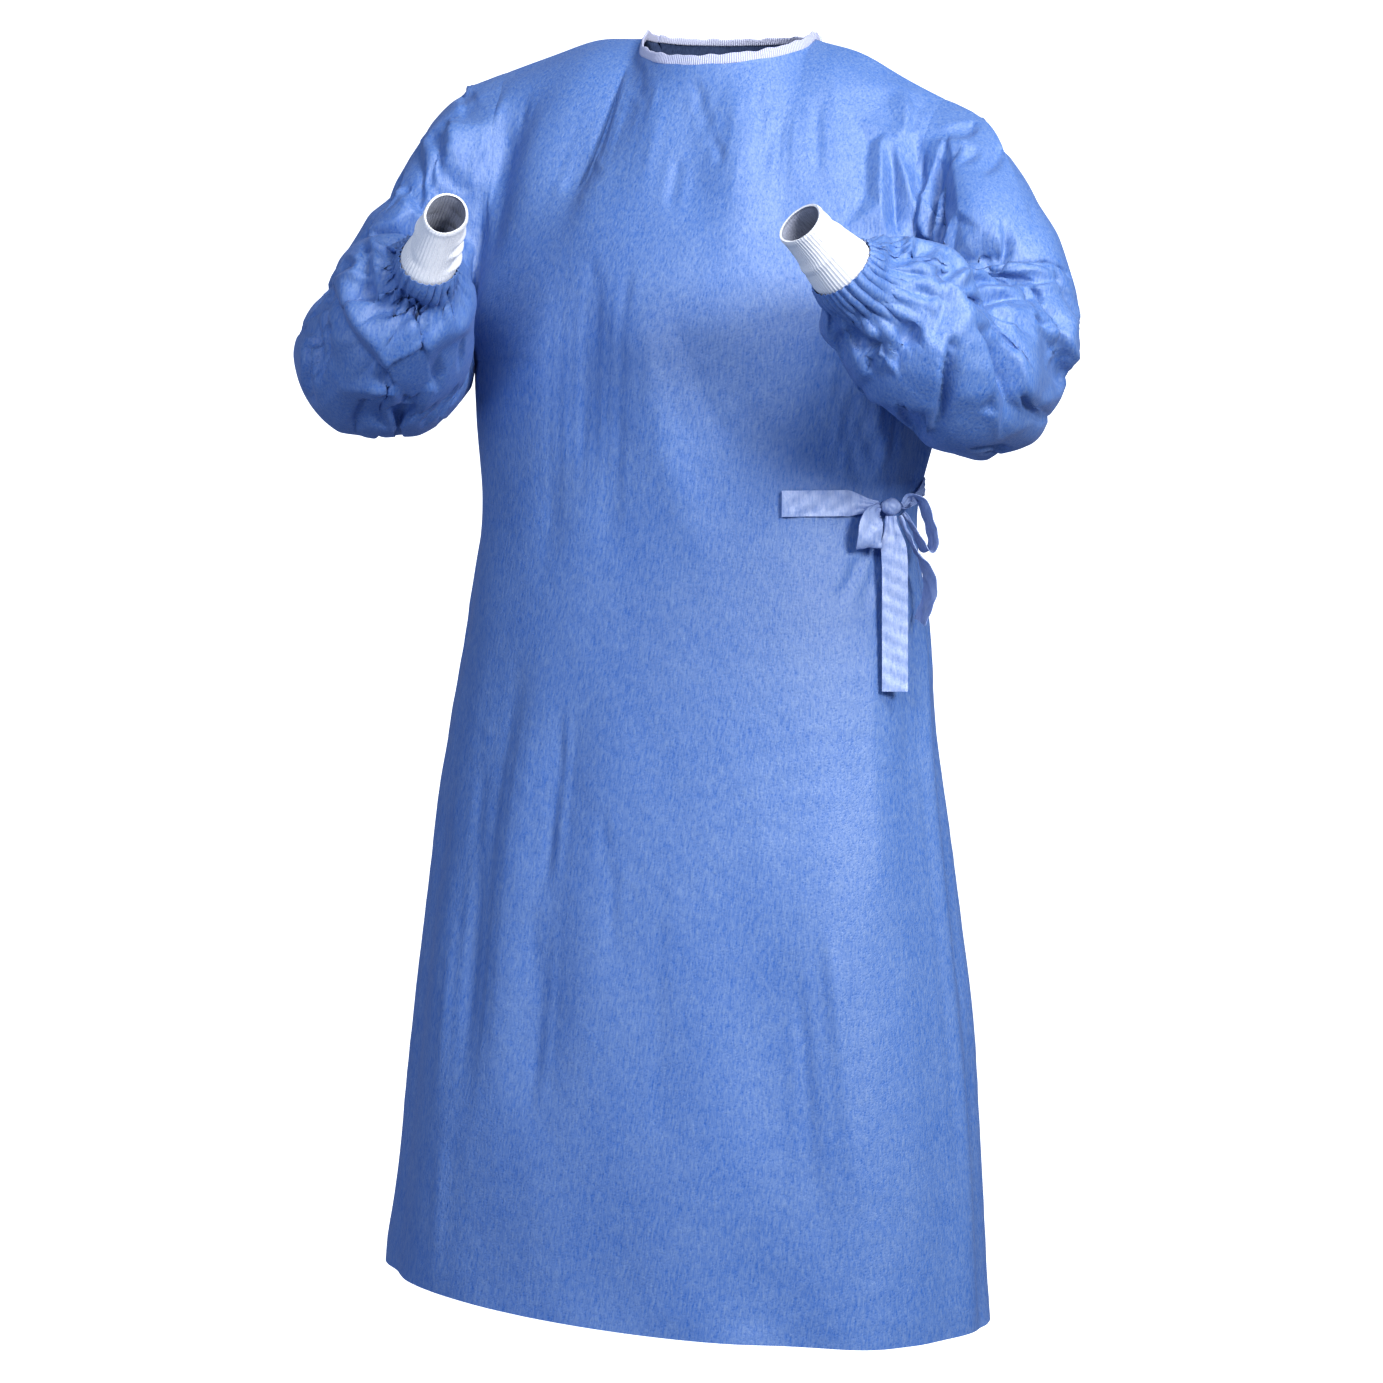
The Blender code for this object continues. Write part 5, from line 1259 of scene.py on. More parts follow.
def keep_clear(sleeve, grids, side):
    """Lay the sleeve against the body where it would go in.

    Each point takes the nearest of the panels' points.  Where it is nearer to that point's
    level than its clearance, it moves out along that point's normal.  The moves are eased."""
    near = slice(ROWS_DOWN // 2, None, 2)
    keys = ("front", "left" if side > 0 else "right")
    body = np.concatenate([grids[key][near, ::2].reshape(-1, 3) for key in keys])
    normals = np.concatenate([grid_normals(grids[key])[near, ::2].reshape(-1, 3) for key in keys])
    outer = side * body[:, 0] > BODY_LEAST_X
    body, normals = body[outer], normals[outer]
    push = np.zeros(sleeve.shape[:2])
    way = np.zeros(sleeve.shape)
    size = np.sum(body ** 2, axis=-1)
    for row, ring in enumerate(sleeve):
        distance = np.sum(ring ** 2, axis=-1)[:, None] + size - 2.0 * ring @ body.T
        nearest = distance.argmin(axis=-1)
        height = np.sum((ring - body[nearest]) * normals[nearest], axis=-1)
        clearance = SLEEVE_CLEARANCE * min(row / CLEARANCE_ROWS, 1.0)
        close = distance.min(axis=-1) < SLEEVE_NEAR ** 2
        push[row] = np.where(close, np.maximum(clearance - height, 0.0), 0.0) * (row > 0)
        way[row] = normals[nearest]
    eased = np.maximum(ease(push, 4, True), push * 0.9)
    eased[0] = 0.0
    return sleeve + eased[..., None] * way


def sleeve_grid(side, crease_scale, gather_count, gather_depth):
    """A sleeve's outer surface, a row for each ring from the armhole down to the wrist."""
    grids, loops = body_grids(crease_scale)
    loop = loops[side]
    path = sleeve_path(loop, ARMS[side])
    centre, out, over = path_at(path, np.array([-1.0]), side)
    spokes = loop - centre[0]
    theta = np.unwrap(np.arctan2(spokes @ over[0], spokes @ out[0]))
    even = np.sign(theta[-1] - theta[0]) * np.arange(len(loop)) * 2 * np.pi / len(loop)
    even = even + np.mean(theta - even)
    end = 2.0 + SLEEVE_OVER_CUFF
    places = np.concatenate([np.linspace(0.0, 1.0, BEND_ROWS + 1),
                             np.linspace(1.0, end, FOREARM_ROWS + 1)[1:]])
    mix = smoothstep(places / 1.5)[:, None]
    angles = theta[None, :] * (1.0 - mix) + even[None, :] * mix
    level = places[:, None] * np.ones(len(loop))
    radius = sleeve_radius(level, angles, side)
    near_wrist = smoothstep((level - end + CUFF_BLEND) / CUFF_BLEND)
    radius = (radius * (1.0 - near_wrist)
              + (cuff_radius(np.maximum(level - 2.0, 0.0), angles, side) + CUFF_ROOM) * near_wrist
              + gathers(level - end + 2.0, angles, gather_count, gather_depth))
    rings = rings_about(path_at(path, places, side), radius, angles)
    sleeve = np.concatenate([upper_sleeve(loop, rings, side), rings[1:]])
    sleeve = keep_clear(sleeve, grids, side)

    normals = grid_normals(sleeve, True) * side
    every_place = np.concatenate([np.linspace(-1.0, 0.0, UPPER_ROWS + 1), places[1:]])[:, None]
    every_angle = np.degrees(np.concatenate([np.broadcast_to(angles[0], (UPPER_ROWS, len(loop))),
                                             angles]))
    height = seen_creases(sleeve, normals, SLEEVE_OUTLINE[side], OUTLINE_LEAST)
    if side < 0:
        height += seen_creases(sleeve, normals, ARMHOLE_CREASES)
    hidden = 1.0 - smoothstep((facing_eye(sleeve, normals) - HIDDEN_LEAST) / HIDDEN_FADE)
    height += hidden * surface_creases(every_angle, every_place, SLEEVE_FOLD_RADIUS,
                                       SLEEVE_BACK_CREASES[side])
    rows = np.arange(len(sleeve))[:, None]
    fade = smoothstep(rows / 6.0) * smoothstep((end - every_place) / 0.12)
    sleeve = sleeve + normals * (height * fade * crease_scale)[..., None]

    inner = (1.0 - np.cos(np.radians(every_angle))) / 2.0
    at_bend = np.exp(-((every_place - 0.4) / 0.75) ** 4)
    slack_up = (1.0 + at_bend * (BEND_SLACK + CROOK_SLACK * inner ** 1.5)
                + FOREARM_SLACK * smoothstep((every_place - 0.8) / 0.5))
    slack_across = SLEEVE_WIDER + SLEEVE_SLACK * smoothstep((every_place + 0.6) / 0.6)
    give = (SLEEVE_GIVE * (SEEN_GIVE + (1.0 - SEEN_GIVE) * hidden)
            * smoothstep((every_place + 1.0) / 0.35)
            * smoothstep((end - every_place) / 0.3))
    sleeve = settle_in_steps(sleeve, (slack_up, slack_across), give, SLEEVE_STEPS, True, side)
    normals = grid_normals(sleeve, True) * side
    from_seam = np.linalg.norm(sleeve - sleeve[:1], axis=-1)
    fine = SLEEVE_CRUMPLE * CRUMPLE * crumple(sleeve)
    fine = fine + FACET_DEPTH * facets(sleeve, normals, SLEEVE_FACETS[side])
    sleeve = sleeve + normals * (fine * fade * crease_scale + seam(from_seam))[..., None]
    return keep_clear(sleeve, grids, side)


def cuff_grid(side, loop, rib_count, rib_depth):
    """A cuff's outer surface: an oval tube with ribs along it, soft folds across it, a rolled
    end, and a foot that starts under the sleeve's gathers."""
    path = sleeve_path(loop, ARMS[side])
    theta = np.arange(rib_count * RIB_COLUMNS) * 2 * np.pi / (rib_count * RIB_COLUMNS)
    foot = SLEEVE_OVER_CUFF - 0.04
    share = np.linspace(foot, 1.0, CUFF_ROWS + 1)[:, None]
    shares = share * np.ones(len(theta))
    angles = np.broadcast_to(theta, shares.shape)
    radius = cuff_radius(np.maximum(shares, 0.0), angles, side)
    radius = radius + 0.5 * rib_depth * (np.cos(rib_count * angles) - 1.0)
    for at, angle, slope, width, spread, height in CUFF_FOLDS[side]:
        around = angle_from(angle, np.degrees(angles))
        line = (shares - at - slope * around / 90.0) / width
        radius = radius + height * np.exp(-line ** 2) * np.exp(-(around / spread) ** 4)
    lip = np.exp(-((shares - 0.955) / 0.035) ** 2)
    radius = radius + CUFF_LIP * lip - CUFF_TUCK * smoothstep((foot + 0.09 - shares) / 0.09)
    uneven = CUFF_UNEVEN * np.sin(3 * angles + 0.6)
    radius = radius * (1.0 + uneven * smoothstep((shares - 0.5) / 0.5))
    return rings_about(path_at(path, 2.0 + share[:, 0], side), radius, angles)


# ---------------------------------------------------------------- binding, ties and bow

def binding_grid(grids):
    """A folded band on the neckline: an oval profile carried along the path of the panels' top
    edges, from the inner panel's end round to the outer one's.  Its height wavers, and it is
    lower behind."""
    cells = SHOULDER_CELLS
    inner_back = grids["left"][-1, cells:][::-1]
    front = grids["front"][-1, cells:-cells][::-1]
    outer_back = grids["right"][-1, :-cells][::-1]
    path = np.concatenate([inner_back, front[1:], outer_back[1:]])
    level = path * np.array([1.0, 1.0, 0.0])
    rise = unit(np.array([0.0, 0.0, 1.0]) - BINDING_LEAN * unit(level))
    along = unit(np.gradient(path, axis=0))
    face = unit(np.cross(rise, along))
    face = face * np.sign(np.sum(face * level, axis=1, keepdims=True))
    length = distance_along(path)
    behind = smoothstep((path[:, 1] + 0.02) / 0.06)
    waver = (1.0 - BINDING_LOWER * behind + BINDING_WAVER * np.sin(length * 330.0)
             + BINDING_WAVER * np.sin(length * 207.0 + 1.0))
    tilt = 0.0004 * np.sin(length * 151.0) + 0.0003 * np.sin(length * 89.0 + 2.0)
    turn = np.linspace(0.0, 2 * np.pi, BINDING_COLUMNS + 1)[:-1]
    thick = BINDING_THICK / 2 * np.sign(np.cos(turn)) * np.abs(np.cos(turn)) ** 0.7
    tall = 0.5 + 0.5 * np.sign(np.sin(turn)) * np.abs(np.sin(turn)) ** 0.6
    middle = path - face * (BINDING_THICK / 2 - BINDING_INSET) + face * tilt[:, None]
    return (middle[:, None] + face[:, None] * thick[None, :, None]
            + rise[:, None] * (BINDING_HEIGHT * tall[None, :] * waver[:, None]
                               - BINDING_SINK)[..., None])


def ribbon_grid(path, across, width, pleats, narrow):
    """A strip carried along a path, a row for each of its points: across gives one long edge's
    way, and the cloth waves a little along and across it.  Where it is narrow it has pleats."""
    along = unit(np.gradient(path, axis=0))
    across = unit(across - along * np.sum(across * along, axis=1, keepdims=True))
    face = np.cross(along, across)
    place = np.linspace(-0.5, 0.5, RIBBON_COLUMNS)
    length = distance_along(path)
    wave = (np.sin(length[:, None] * 420.0 + 5.0 * place)
            + 0.8 * np.sin(length[:, None] * 263.0 - 9.0 * place + 1.0)
            + 1.2 * np.sin(length[:, None] * 97.0 + 14.0 * place ** 2))
    count, height = pleats
    lift = (RIBBON_WAVE * wave
            + height * narrow[:, None] * np.cos(2 * np.pi * count * place + 0.9))
    wide = np.broadcast_to(width, len(path))[:, None] * place
    return path[:, None] + across[:, None] * wide[..., None] + face[:, None] * lift[..., None]


def view_axes():
    """The bow's own axes: across its face, towards the one who looks at it, and up."""
    turn = np.radians(BOW_TURN)
    return np.array([(np.cos(turn), np.sin(turn), 0.0), (np.sin(turn), -np.cos(turn), 0.0),
                     (0.0, 0.0, 1.0)])


def knot_middle():
    """The middle of the knot, just outside the wearer's left front."""
    angle = np.array(KNOT_ANGLE)
    return lower_surface(angle, np.array(KNOT_Z)) + outward(angle) * KNOT_OUT


def bow_ribbon_grid(table, rows=BOW_ROWS):
    """A ribbon of the bow, on a smooth curve through its table's rows, pleated where it is
    narrow."""
    knots = np.column_stack([np.linspace(0.0, 1.0, len(table)), table])
    values = read_table(knots, np.linspace(0.0, 1.0, rows))
    axes = view_axes()
    width = values[:, 6] * MM
    narrow = smoothstep((TIE_WIDTH * 0.92 - width) / (TIE_WIDTH * 0.5))
    path = knot_middle() + values[:, 0:3] * MM @ axes
    return ribbon_grid(path, values[:, 3:6] @ axes, width, BOW_PLEATS, narrow)


def knot_grid():
    """The knot: rings along the bow, rounded off at both ends, with a band round its middle
    and grooves that wind round it."""
    axes = view_axes()
    across = np.sin(np.linspace(-np.pi / 2, np.pi / 2, KNOT_RINGS))
    turns = -np.arange(KNOT_COLUMNS) * 2 * np.pi / KNOT_COLUMNS
    s, theta = np.meshgrid(across, turns, indexing="ij")
    size = np.sqrt(np.maximum(1.0 - 0.985 * s ** 2, 0.0)) ** 0.9
    band = 0.13 * np.exp(-((s - 0.12 - 0.12 * np.sin(theta)) / 0.42) ** 6)
    winding = 0.085 * np.abs(np.sin(2.5 * theta + 2.6 * s + 0.5)) ** 0.7
    size = size * (0.93 + band + winding * np.sqrt(1.0 - 0.9 * s ** 2))
    spokes = (np.cos(theta)[..., None] * axes[1] * KNOT_HALF[1]
              + np.sin(theta)[..., None] * axes[2] * KNOT_HALF[2])
    return (knot_middle() + s[..., None] * axes[0] * KNOT_HALF[0] * 1.04
            + size[..., None] * spokes)


def strap_grid(angles, heights, lift, pleats, pinch, narrow):
    """A tie that lies upright on the cloth below the underarm, at a distance from it."""
    path = lower_surface(angles, heights) + outward(angles) * lift[:, None]
    return ribbon_grid(path, np.array((0.0, 0.0, 1.0)), TIE_WIDTH - pinch * narrow, pleats, narrow)


def front_tie_grid():
    """The tie sewn on the front: flat and upright, then pleated together at the knot."""
    share = np.linspace(0.0, 1.0, FRONT_TIE_ROWS)
    angles = FRONT_TIE_START + (KNOT_ANGLE - FRONT_TIE_STOP - FRONT_TIE_START) * share
    end, beyond, at_knot = FRONT_TIE_LIFT
    lift = end + beyond * smoothstep(share / 0.25) + at_knot * smoothstep((share - 0.7) / 0.3)
    heights = TIE_Z + (KNOT_Z + 0.001 - TIE_Z) * smoothstep((share - 0.6) / 0.4)
    narrow = smoothstep((share - 0.66) / 0.34)
    return strap_grid(angles, heights, lift, FRONT_TIE_PLEATS, FRONT_TIE_PINCH, narrow)


def belt_grid():
    """The belt: sewn on the outer back panel and drawn round the left side to the knot."""
    angles = np.linspace(BELT_START, KNOT_ANGLE + BELT_STOP, BELT_ROWS)
    on_flap = smoothstep((angles - 138.0) / 12.0)
    near_knot = smoothstep((KNOT_ANGLE + 28.0 - angles) / 21.0)
    drawn = smoothstep((KNOT_ANGLE + 50.0 - angles) / 35.0)
    lift = BELT_LIFT[0] + BELT_LIFT[1] * on_flap + BELT_LIFT[2] * near_knot
    heights = BELT_Z + (KNOT_Z + 0.002 - BELT_Z) * near_knot
    return strap_grid(angles, heights, lift, BELT_PLEATS, BELT_PINCH, drawn)


def body_front_at(across, height):
    """How far towards the viewer the cloth stands, at a distance across from the knot."""
    angles = np.linspace(10.0, 105.0, 96)
    points = lower_surface(angles, np.full(96, height)) - knot_middle()
    axes = view_axes()
    return np.interp(across, points @ axes[0], points @ axes[1])


def long_tail_grid():
    """The long end of the bow: straight down from the knot, clear of the cloth."""
    axes = view_axes()
    middle = knot_middle()
    share = np.linspace(0.0, 1.0, TAIL_ROWS)
    drops = np.linspace(TAIL_START, TAIL_END_Z - middle[2], TAIL_ROWS)
    half = TIE_WIDTH / 2 + TAIL_ASIDE
    clear = np.array([max(body_front_at(a, middle[2] + drop) for a in (-half, 0.0, half))
                      for drop in drops]) + TAIL_CLEARANCE
    forward = np.maximum(clear, TAIL_LEAST_OUT)
    forward = np.maximum(forward[0] + (forward[-1] - forward[0]) * share, clear)
    fine = np.linspace(0.0, 1.0, TAIL_ROWS * TAIL_FINER)
    forward = np.interp(fine, share, forward)
    drops = np.interp(fine, share, drops)
    aside = TAIL_ASIDE * smoothstep(fine / 0.3)
    path = (middle + aside[:, None] * axes[0] + forward[:, None] * axes[1]
            + drops[:, None] * axes[2])
    narrow = 1.0 - smoothstep(fine / 0.20)
    width = TIE_WIDTH * (1.0 - TAIL_PINCH * narrow)
    return ribbon_grid(path, -axes[0], width, BOW_PLEATS, narrow)


def fastener_grid(grids):
    """The patch between the back panels at the neck: a part of the inner panel, moved out."""
    inner = grids["left"]
    rows = len(inner) - 1 - np.round(FASTENER_ROWS * ROWS_UP / 12).astype(int)
    columns = SHOULDER_CELLS + np.round(FASTENER_COLUMNS * BACK_SIDE_CELLS / 7).astype(int)
    patch = inner[rows[0]:rows[1], columns[0]:columns[1]]
    return patch + grid_normals(patch) * FASTENER_OUT


# ---------------------------------------------------------------- meshes

def surface_map(points, closed):
    """The cloth's map in metres: distance across from the middle and distance up.  A closed
    piece has the same distances in all rows, as its flat pattern does."""
    if closed:
        around = np.linalg.norm(np.roll(points, -1, axis=1) - points, axis=2).sum(axis=1)
        count = points.shape[1]
        across = (np.arange(count + 1) / count - 0.5)[None, :] * np.median(around)
        rise = np.linalg.norm(np.diff(points, axis=0), axis=2).mean(axis=1)
        up = np.concatenate([[0.0], np.cumsum(rise)])[:, None]
        return np.stack(np.broadcast_arrays(across, up), axis=-1)
    across = np.linalg.norm(np.diff(points, axis=1), axis=2)
    across = np.concatenate([np.zeros((len(points), 1)), np.cumsum(across, axis=1)], axis=1)
    up = np.linalg.norm(np.diff(points, axis=0), axis=2)
    up = np.concatenate([np.zeros((1, points.shape[1])), np.cumsum(up, axis=0)])
    return np.stack([across - across.mean(axis=1, keepdims=True), up], axis=-1)


def grid_mesh(name, points, closed=False, capped=False):
    """A mesh of a grid's cells, seen from outside, with the map that follows the cloth.  Its
    outer edges are sharp, so that the cut edge isn't shaded as one with the cloth's face."""
    rows, columns = points.shape[:2]
    r, c = np.meshgrid(np.arange(rows - 1), np.arange(columns if closed else columns - 1),
                       indexing="ij")
    corners = ((r, c), (r, c + 1), (r + 1, c + 1), (r + 1, c))
    faces = np.stack([i * columns + j % columns for i, j in corners], axis=-1).reshape(-1, 4)
    where = np.stack([surface_map(points, closed)[i, j] for i, j in corners], axis=2)
    where = where.reshape(-1, 2)
    mesh = bpy.data.meshes.new(name)
    caps = [list(range(columns))[::-1], [(rows - 1) * columns + i for i in range(columns)]]
    mesh.from_pydata(points.reshape(-1, 3).tolist(), [],
                     faces.tolist() + (caps if capped else []))
    ends = np.empty(2 * len(mesh.edges), dtype=int)
    mesh.edges.foreach_get("vertices", ends)
    row, column = (part.reshape(-1, 2) for part in np.divmod(ends, columns))
    border = (row == 0).all(axis=1) | (row == rows - 1).all(axis=1)
    if not closed:
        border |= (column == 0).all(axis=1) | (column == columns - 1).all(axis=1)
    mesh.attributes.new("sharp_edge", "BOOLEAN", "EDGE").data.foreach_set("value", border)
    layer = mesh.uv_layers.new(name="cloth")
    flat = np.zeros((len(mesh.loops), 2))
    flat[:len(where)] = where
    layer.uv.foreach_set("vector", flat.ravel())
    mesh.shade_smooth()
    return mesh


def add_piece(name, mesh, material, nodes, thickness=0.0, offset=-1.0, inside=None):
    """A piece of the gown that rides on it and takes the place of its plain solids.  Its inner
    face
    takes a second finish if one is given: a darker copy of the cloth or knit, which paints the
    shade inside the gown."""
    mesh.materials.append(material)
    if inside:
        mesh.materials.append(inside)
    piece = bpy.data.objects.new(name, mesh)
    bpy.context.scene.collection.objects.link(piece)
    if thickness:
        wall = piece.modifiers.new("wall", "SOLIDIFY")
        wall.thickness = thickness
        wall.offset = offset
        wall.use_even_offset = False
        # the inner faces take the second finish, which paints the shade inside the gown
        wall.material_offset = 1 if inside else 0
    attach(piece, "root")
    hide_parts(*nodes)
    return piece


# ---------------------------------------------------------------- finishes

def linear(hex_colour):
    """A colour from its sRGB hex digits, in Blender's linear values with alpha."""
    parts = np.array([int(hex_colour[i:i + 2], 16) for i in (1, 3, 5)]) / 255.0
    parts = np.where(parts <= 0.04045, parts / 12.92, ((parts + 0.055) / 1.055) ** 2.4)
    return (*parts.tolist(), 1.0)


def add_node(tree, kind, at, values=None, links=None, **settings):
    """A node at a place of the tree, with its settings, its sockets' values and its links."""
    made = tree.nodes.new(kind)
    made.location = at
    for key, value in settings.items():
        setattr(made, key, value)
    for key, value in (values or {}).items():
        made.inputs[key].default_value = value
    for key, source in (links or {}).items():
        tree.links.new(source, made.inputs[key])
    return made


def new_finish(name, roughness, sheen, sheen_tint, gloss=0.28):
    """A material with an empty tree but for its cloth shader, whose fixed values are set."""
    material = bpy.data.materials.new(name)
    material.use_nodes = True
    tree = material.node_tree
    shader = tree.nodes["Principled BSDF"]
    for key, value in (("Roughness", roughness), ("Specular IOR Level", gloss),
                       ("Sheen Weight", sheen), ("Sheen Roughness", SHEEN_ROUGHNESS),
                       ("Sheen Tint", linear(sheen_tint))):
        shader.inputs[key].default_value = value
    return material, tree, shader


def add_colours(tree, shader, at, factor, low, high, span=(0.0, 1.0)):
    """The shader's colour: one at the low end of a span of the factor, another at its top."""
    ramp = add_node(tree, "ShaderNodeValToRGB", at, None, {"Fac": factor})
    for i, colour in enumerate((low, high)):
        ramp.color_ramp.elements[i].position = span[i]
        ramp.color_ramp.elements[i].color = linear(colour)
    tree.links.new(ramp.outputs["Color"], shader.inputs["Base Color"])


def add_relief(tree, shader, at, height, depth, strength=1.0, under=None, invert=False):
    """The shader's relief, which lies on another one if that is given."""
    links = {"Height": height}
    if under:
        links["Normal"] = under.outputs["Normal"]
    bump = add_node(tree, "ShaderNodeBump", at, {"Strength": strength, "Distance": depth}, links,
                    invert=invert)
    tree.links.new(bump.outputs["Normal"], shader.inputs["Normal"])
    return bump


def weighted(tree, at, weight, source, rest):
    """A node that gives the weight times the source, plus the rest."""
    return add_node(tree, "ShaderNodeMath", at, {1: weight}, {0: source, 2: rest.outputs[0]},
                    operation="MULTIPLY_ADD")


def nonwoven(name, lit, deep, grain_depth, roughness, sheen, turn=8.0, gloss=1.0):
    """SMS nonwoven polypropylene: long melt-spun fibres that lie mostly one way, pressed
    together at small bond points in slanting rows, over a slightly cloudy web."""
    material, tree, shader = new_finish(name, roughness, sheen, "#D6D4F4", gloss)
    body = add_node(tree, "ShaderNodeTexCoord", (-1500, -200))
    places = [add_node(tree, "ShaderNodeMapping", (-1300, down),
                       {"Rotation": (0.0, np.radians(angle), 0.0), "Scale": size},
                       {"Vector": body.outputs["Object"]}, vector_type="TEXTURE")
              for down, angle, size in ((100, turn, FIBRE_SIZE),
                                        (-200, turn + BOND_TURN, BOND_SIZE))]
    fibres = add_node(tree, "ShaderNodeTexNoise", (-1100, 100),
                      {"Scale": 1.0, "Detail": 4.0, "Roughness": 0.70, "Distortion": 0.35},
                      {"Vector": places[0].outputs["Vector"]}).outputs["Fac"]
    bonds = add_node(tree, "ShaderNodeTexVoronoi", (-1100, -200),
                     {"Scale": 1.0, "Randomness": 0.95}, {"Vector": places[1].outputs["Vector"]})
    points = add_node(tree, "ShaderNodeMapRange", (-900, -200),
                      {"From Min": 0.05, "From Max": 0.50, "To Min": 0.0, "To Max": 0.45},
                      {"Value": bonds.outputs["Distance"]})
    cloud = add_node(tree, "ShaderNodeTexNoise", (-1100, -450),
                     {"Scale": 16.0, "Detail": 4.0, "Roughness": 0.6},
                     {"Vector": body.outputs["Object"]})
    web = add_node(tree, "ShaderNodeMath", (-700, 0), {1: FIBRE_WEIGHT}, {0: fibres},
                   operation="MULTIPLY")
    web = weighted(tree, (-550, 0), BOND_WEIGHT, points.outputs["Result"], web)
    web = weighted(tree, (-400, 0), CLOUD_WEIGHT, cloud.outputs["Fac"], web)
    add_colours(tree, shader, (-250, 100), web.outputs[0], deep, lit, WEB_SPAN)
    relief = weighted(tree, (-550, -250), 1.0, fibres, points)
    grain = add_relief(tree, shader, (-300, -250), relief.outputs[0], grain_depth)
    sag = add_node(tree, "ShaderNodeTexNoise", (-700, -500),
                   {"Scale": 34.0, "Detail": 3.0, "Roughness": 0.55, "Distortion": 0.3},
                   {"Vector": body.outputs["Object"]})
    add_relief(tree, shader, (-100, -300), sag.outputs["Fac"], SAG_DEPTH, under=grain)
    return material


def rib_knit(name, colour, shaded):
    """Rib-knit polyester: rows of small loops across ribs that run the length of the cuff."""
    material, tree, shader = new_finish(name, roughness=0.85, sheen=0.35,
                                        sheen_tint="#FFFFFF")
    place = add_node(tree, "ShaderNodeUVMap", (-1100, 0), uv_map="cloth")
    loops_place = add_node(tree, "ShaderNodeMapping", (-900, 0),
                           {"Scale": (1.0 / (KNIT_PITCH * 0.5), 1.0 / KNIT_LOOP, 1.0)},
                           {"Vector": place.outputs["UV"]})
    loops = add_node(tree, "ShaderNodeTexVoronoi", (-700, 0),
                     {"Scale": 1.0, "Randomness": 0.30}, {"Vector": loops_place.outputs["Vector"]},
                     voronoi_dimensions="2D", feature="SMOOTH_F1").outputs["Distance"]
    add_colours(tree, shader, (-450, 100), loops, colour, shaded, (0.10, 0.85))
    add_relief(tree, shader, (-250, -200), loops, depth=0.00035, strength=0.9, invert=True)
    return material


def ribbed_binding(name, colour, between):
    """Stretch binding: fine ribs across the band, with painted shade that makes it a little darker
    between them.
    """
    material, tree, shader = new_finish(name, roughness=0.8, sheen=0.25,
                                        sheen_tint="#E6E4FF")
    place = add_node(tree, "ShaderNodeUVMap", (-1100, 0), uv_map="cloth")
    split = add_node(tree, "ShaderNodeSeparateXYZ", (-900, 0), None, {0: place.outputs["UV"]})
    turns = add_node(tree, "ShaderNodeMath", (-750, 0), {1: 2 * np.pi / BINDING_PITCH},
                     {0: split.outputs["Y"]}, operation="MULTIPLY")
    rib = add_node(tree, "ShaderNodeMath", (-600, 0), None, {0: turns.outputs[0]},
                   operation="SINE")
    fuzz = add_node(tree, "ShaderNodeTexNoise", (-750, -250), {"Scale": 900.0, "Detail": 2.0},
                    {"Vector": place.outputs["UV"]})
    web = weighted(tree, (-450, -50), 0.9, fuzz.outputs["Fac"], rib).outputs[0]
    # painted shade: darker in the grooves between the ribs; the fuzz is random tone
    add_colours(tree, shader, (-280, 100), web, between, colour, (0.0, 0.75))
    add_relief(tree, shader, (-250, -250), web, depth=0.00022)
    return material


def hook_patch(name, colour, hollow):
    """Hook tape: close rows of tiny hooks, with painted shade in the hollows between them."""
    material, tree, shader = new_finish(name, roughness=0.7, sheen=0.1,
                                        sheen_tint="#FFFFFF")
    place = add_node(tree, "ShaderNodeUVMap", (-900, 0), uv_map="cloth")
    hooks = add_node(tree, "ShaderNodeTexVoronoi", (-650, 0),
                     {"Scale": 900.0, "Randomness": 0.15}, {"Vector": place.outputs["UV"]},
                     voronoi_dimensions="2D").outputs["Distance"]
    # painted shade: darker in the hollows between the hooks
    add_colours(tree, shader, (-400, 100), hooks, colour, hollow)
    add_relief(tree, shader, (-250, -200), hooks, depth=0.0004, invert=True)
    return material


def plain_stage(name, colour):
    """Matt pale paint with a faint unevenness, lit through from behind."""
    material, tree, shader = new_finish(name, roughness=0.9, sheen=0.0,
                                        sheen_tint="#FFFFFF")
    shader.inputs["Emission Color"].default_value = linear("#FFFFFF")
    shader.inputs["Emission Strength"].default_value = STAGE_GLOW
    place = add_node(tree, "ShaderNodeTexCoord", (-700, 0))
    uneven = add_node(tree, "ShaderNodeTexNoise", (-500, 0), {"Scale": 0.8, "Detail": 3.0},
                      {"Vector": place.outputs["Object"]})
    add_colours(tree, shader, (-300, 0), uneven.outputs["Fac"], colour, "#FFFFFF")
    return material


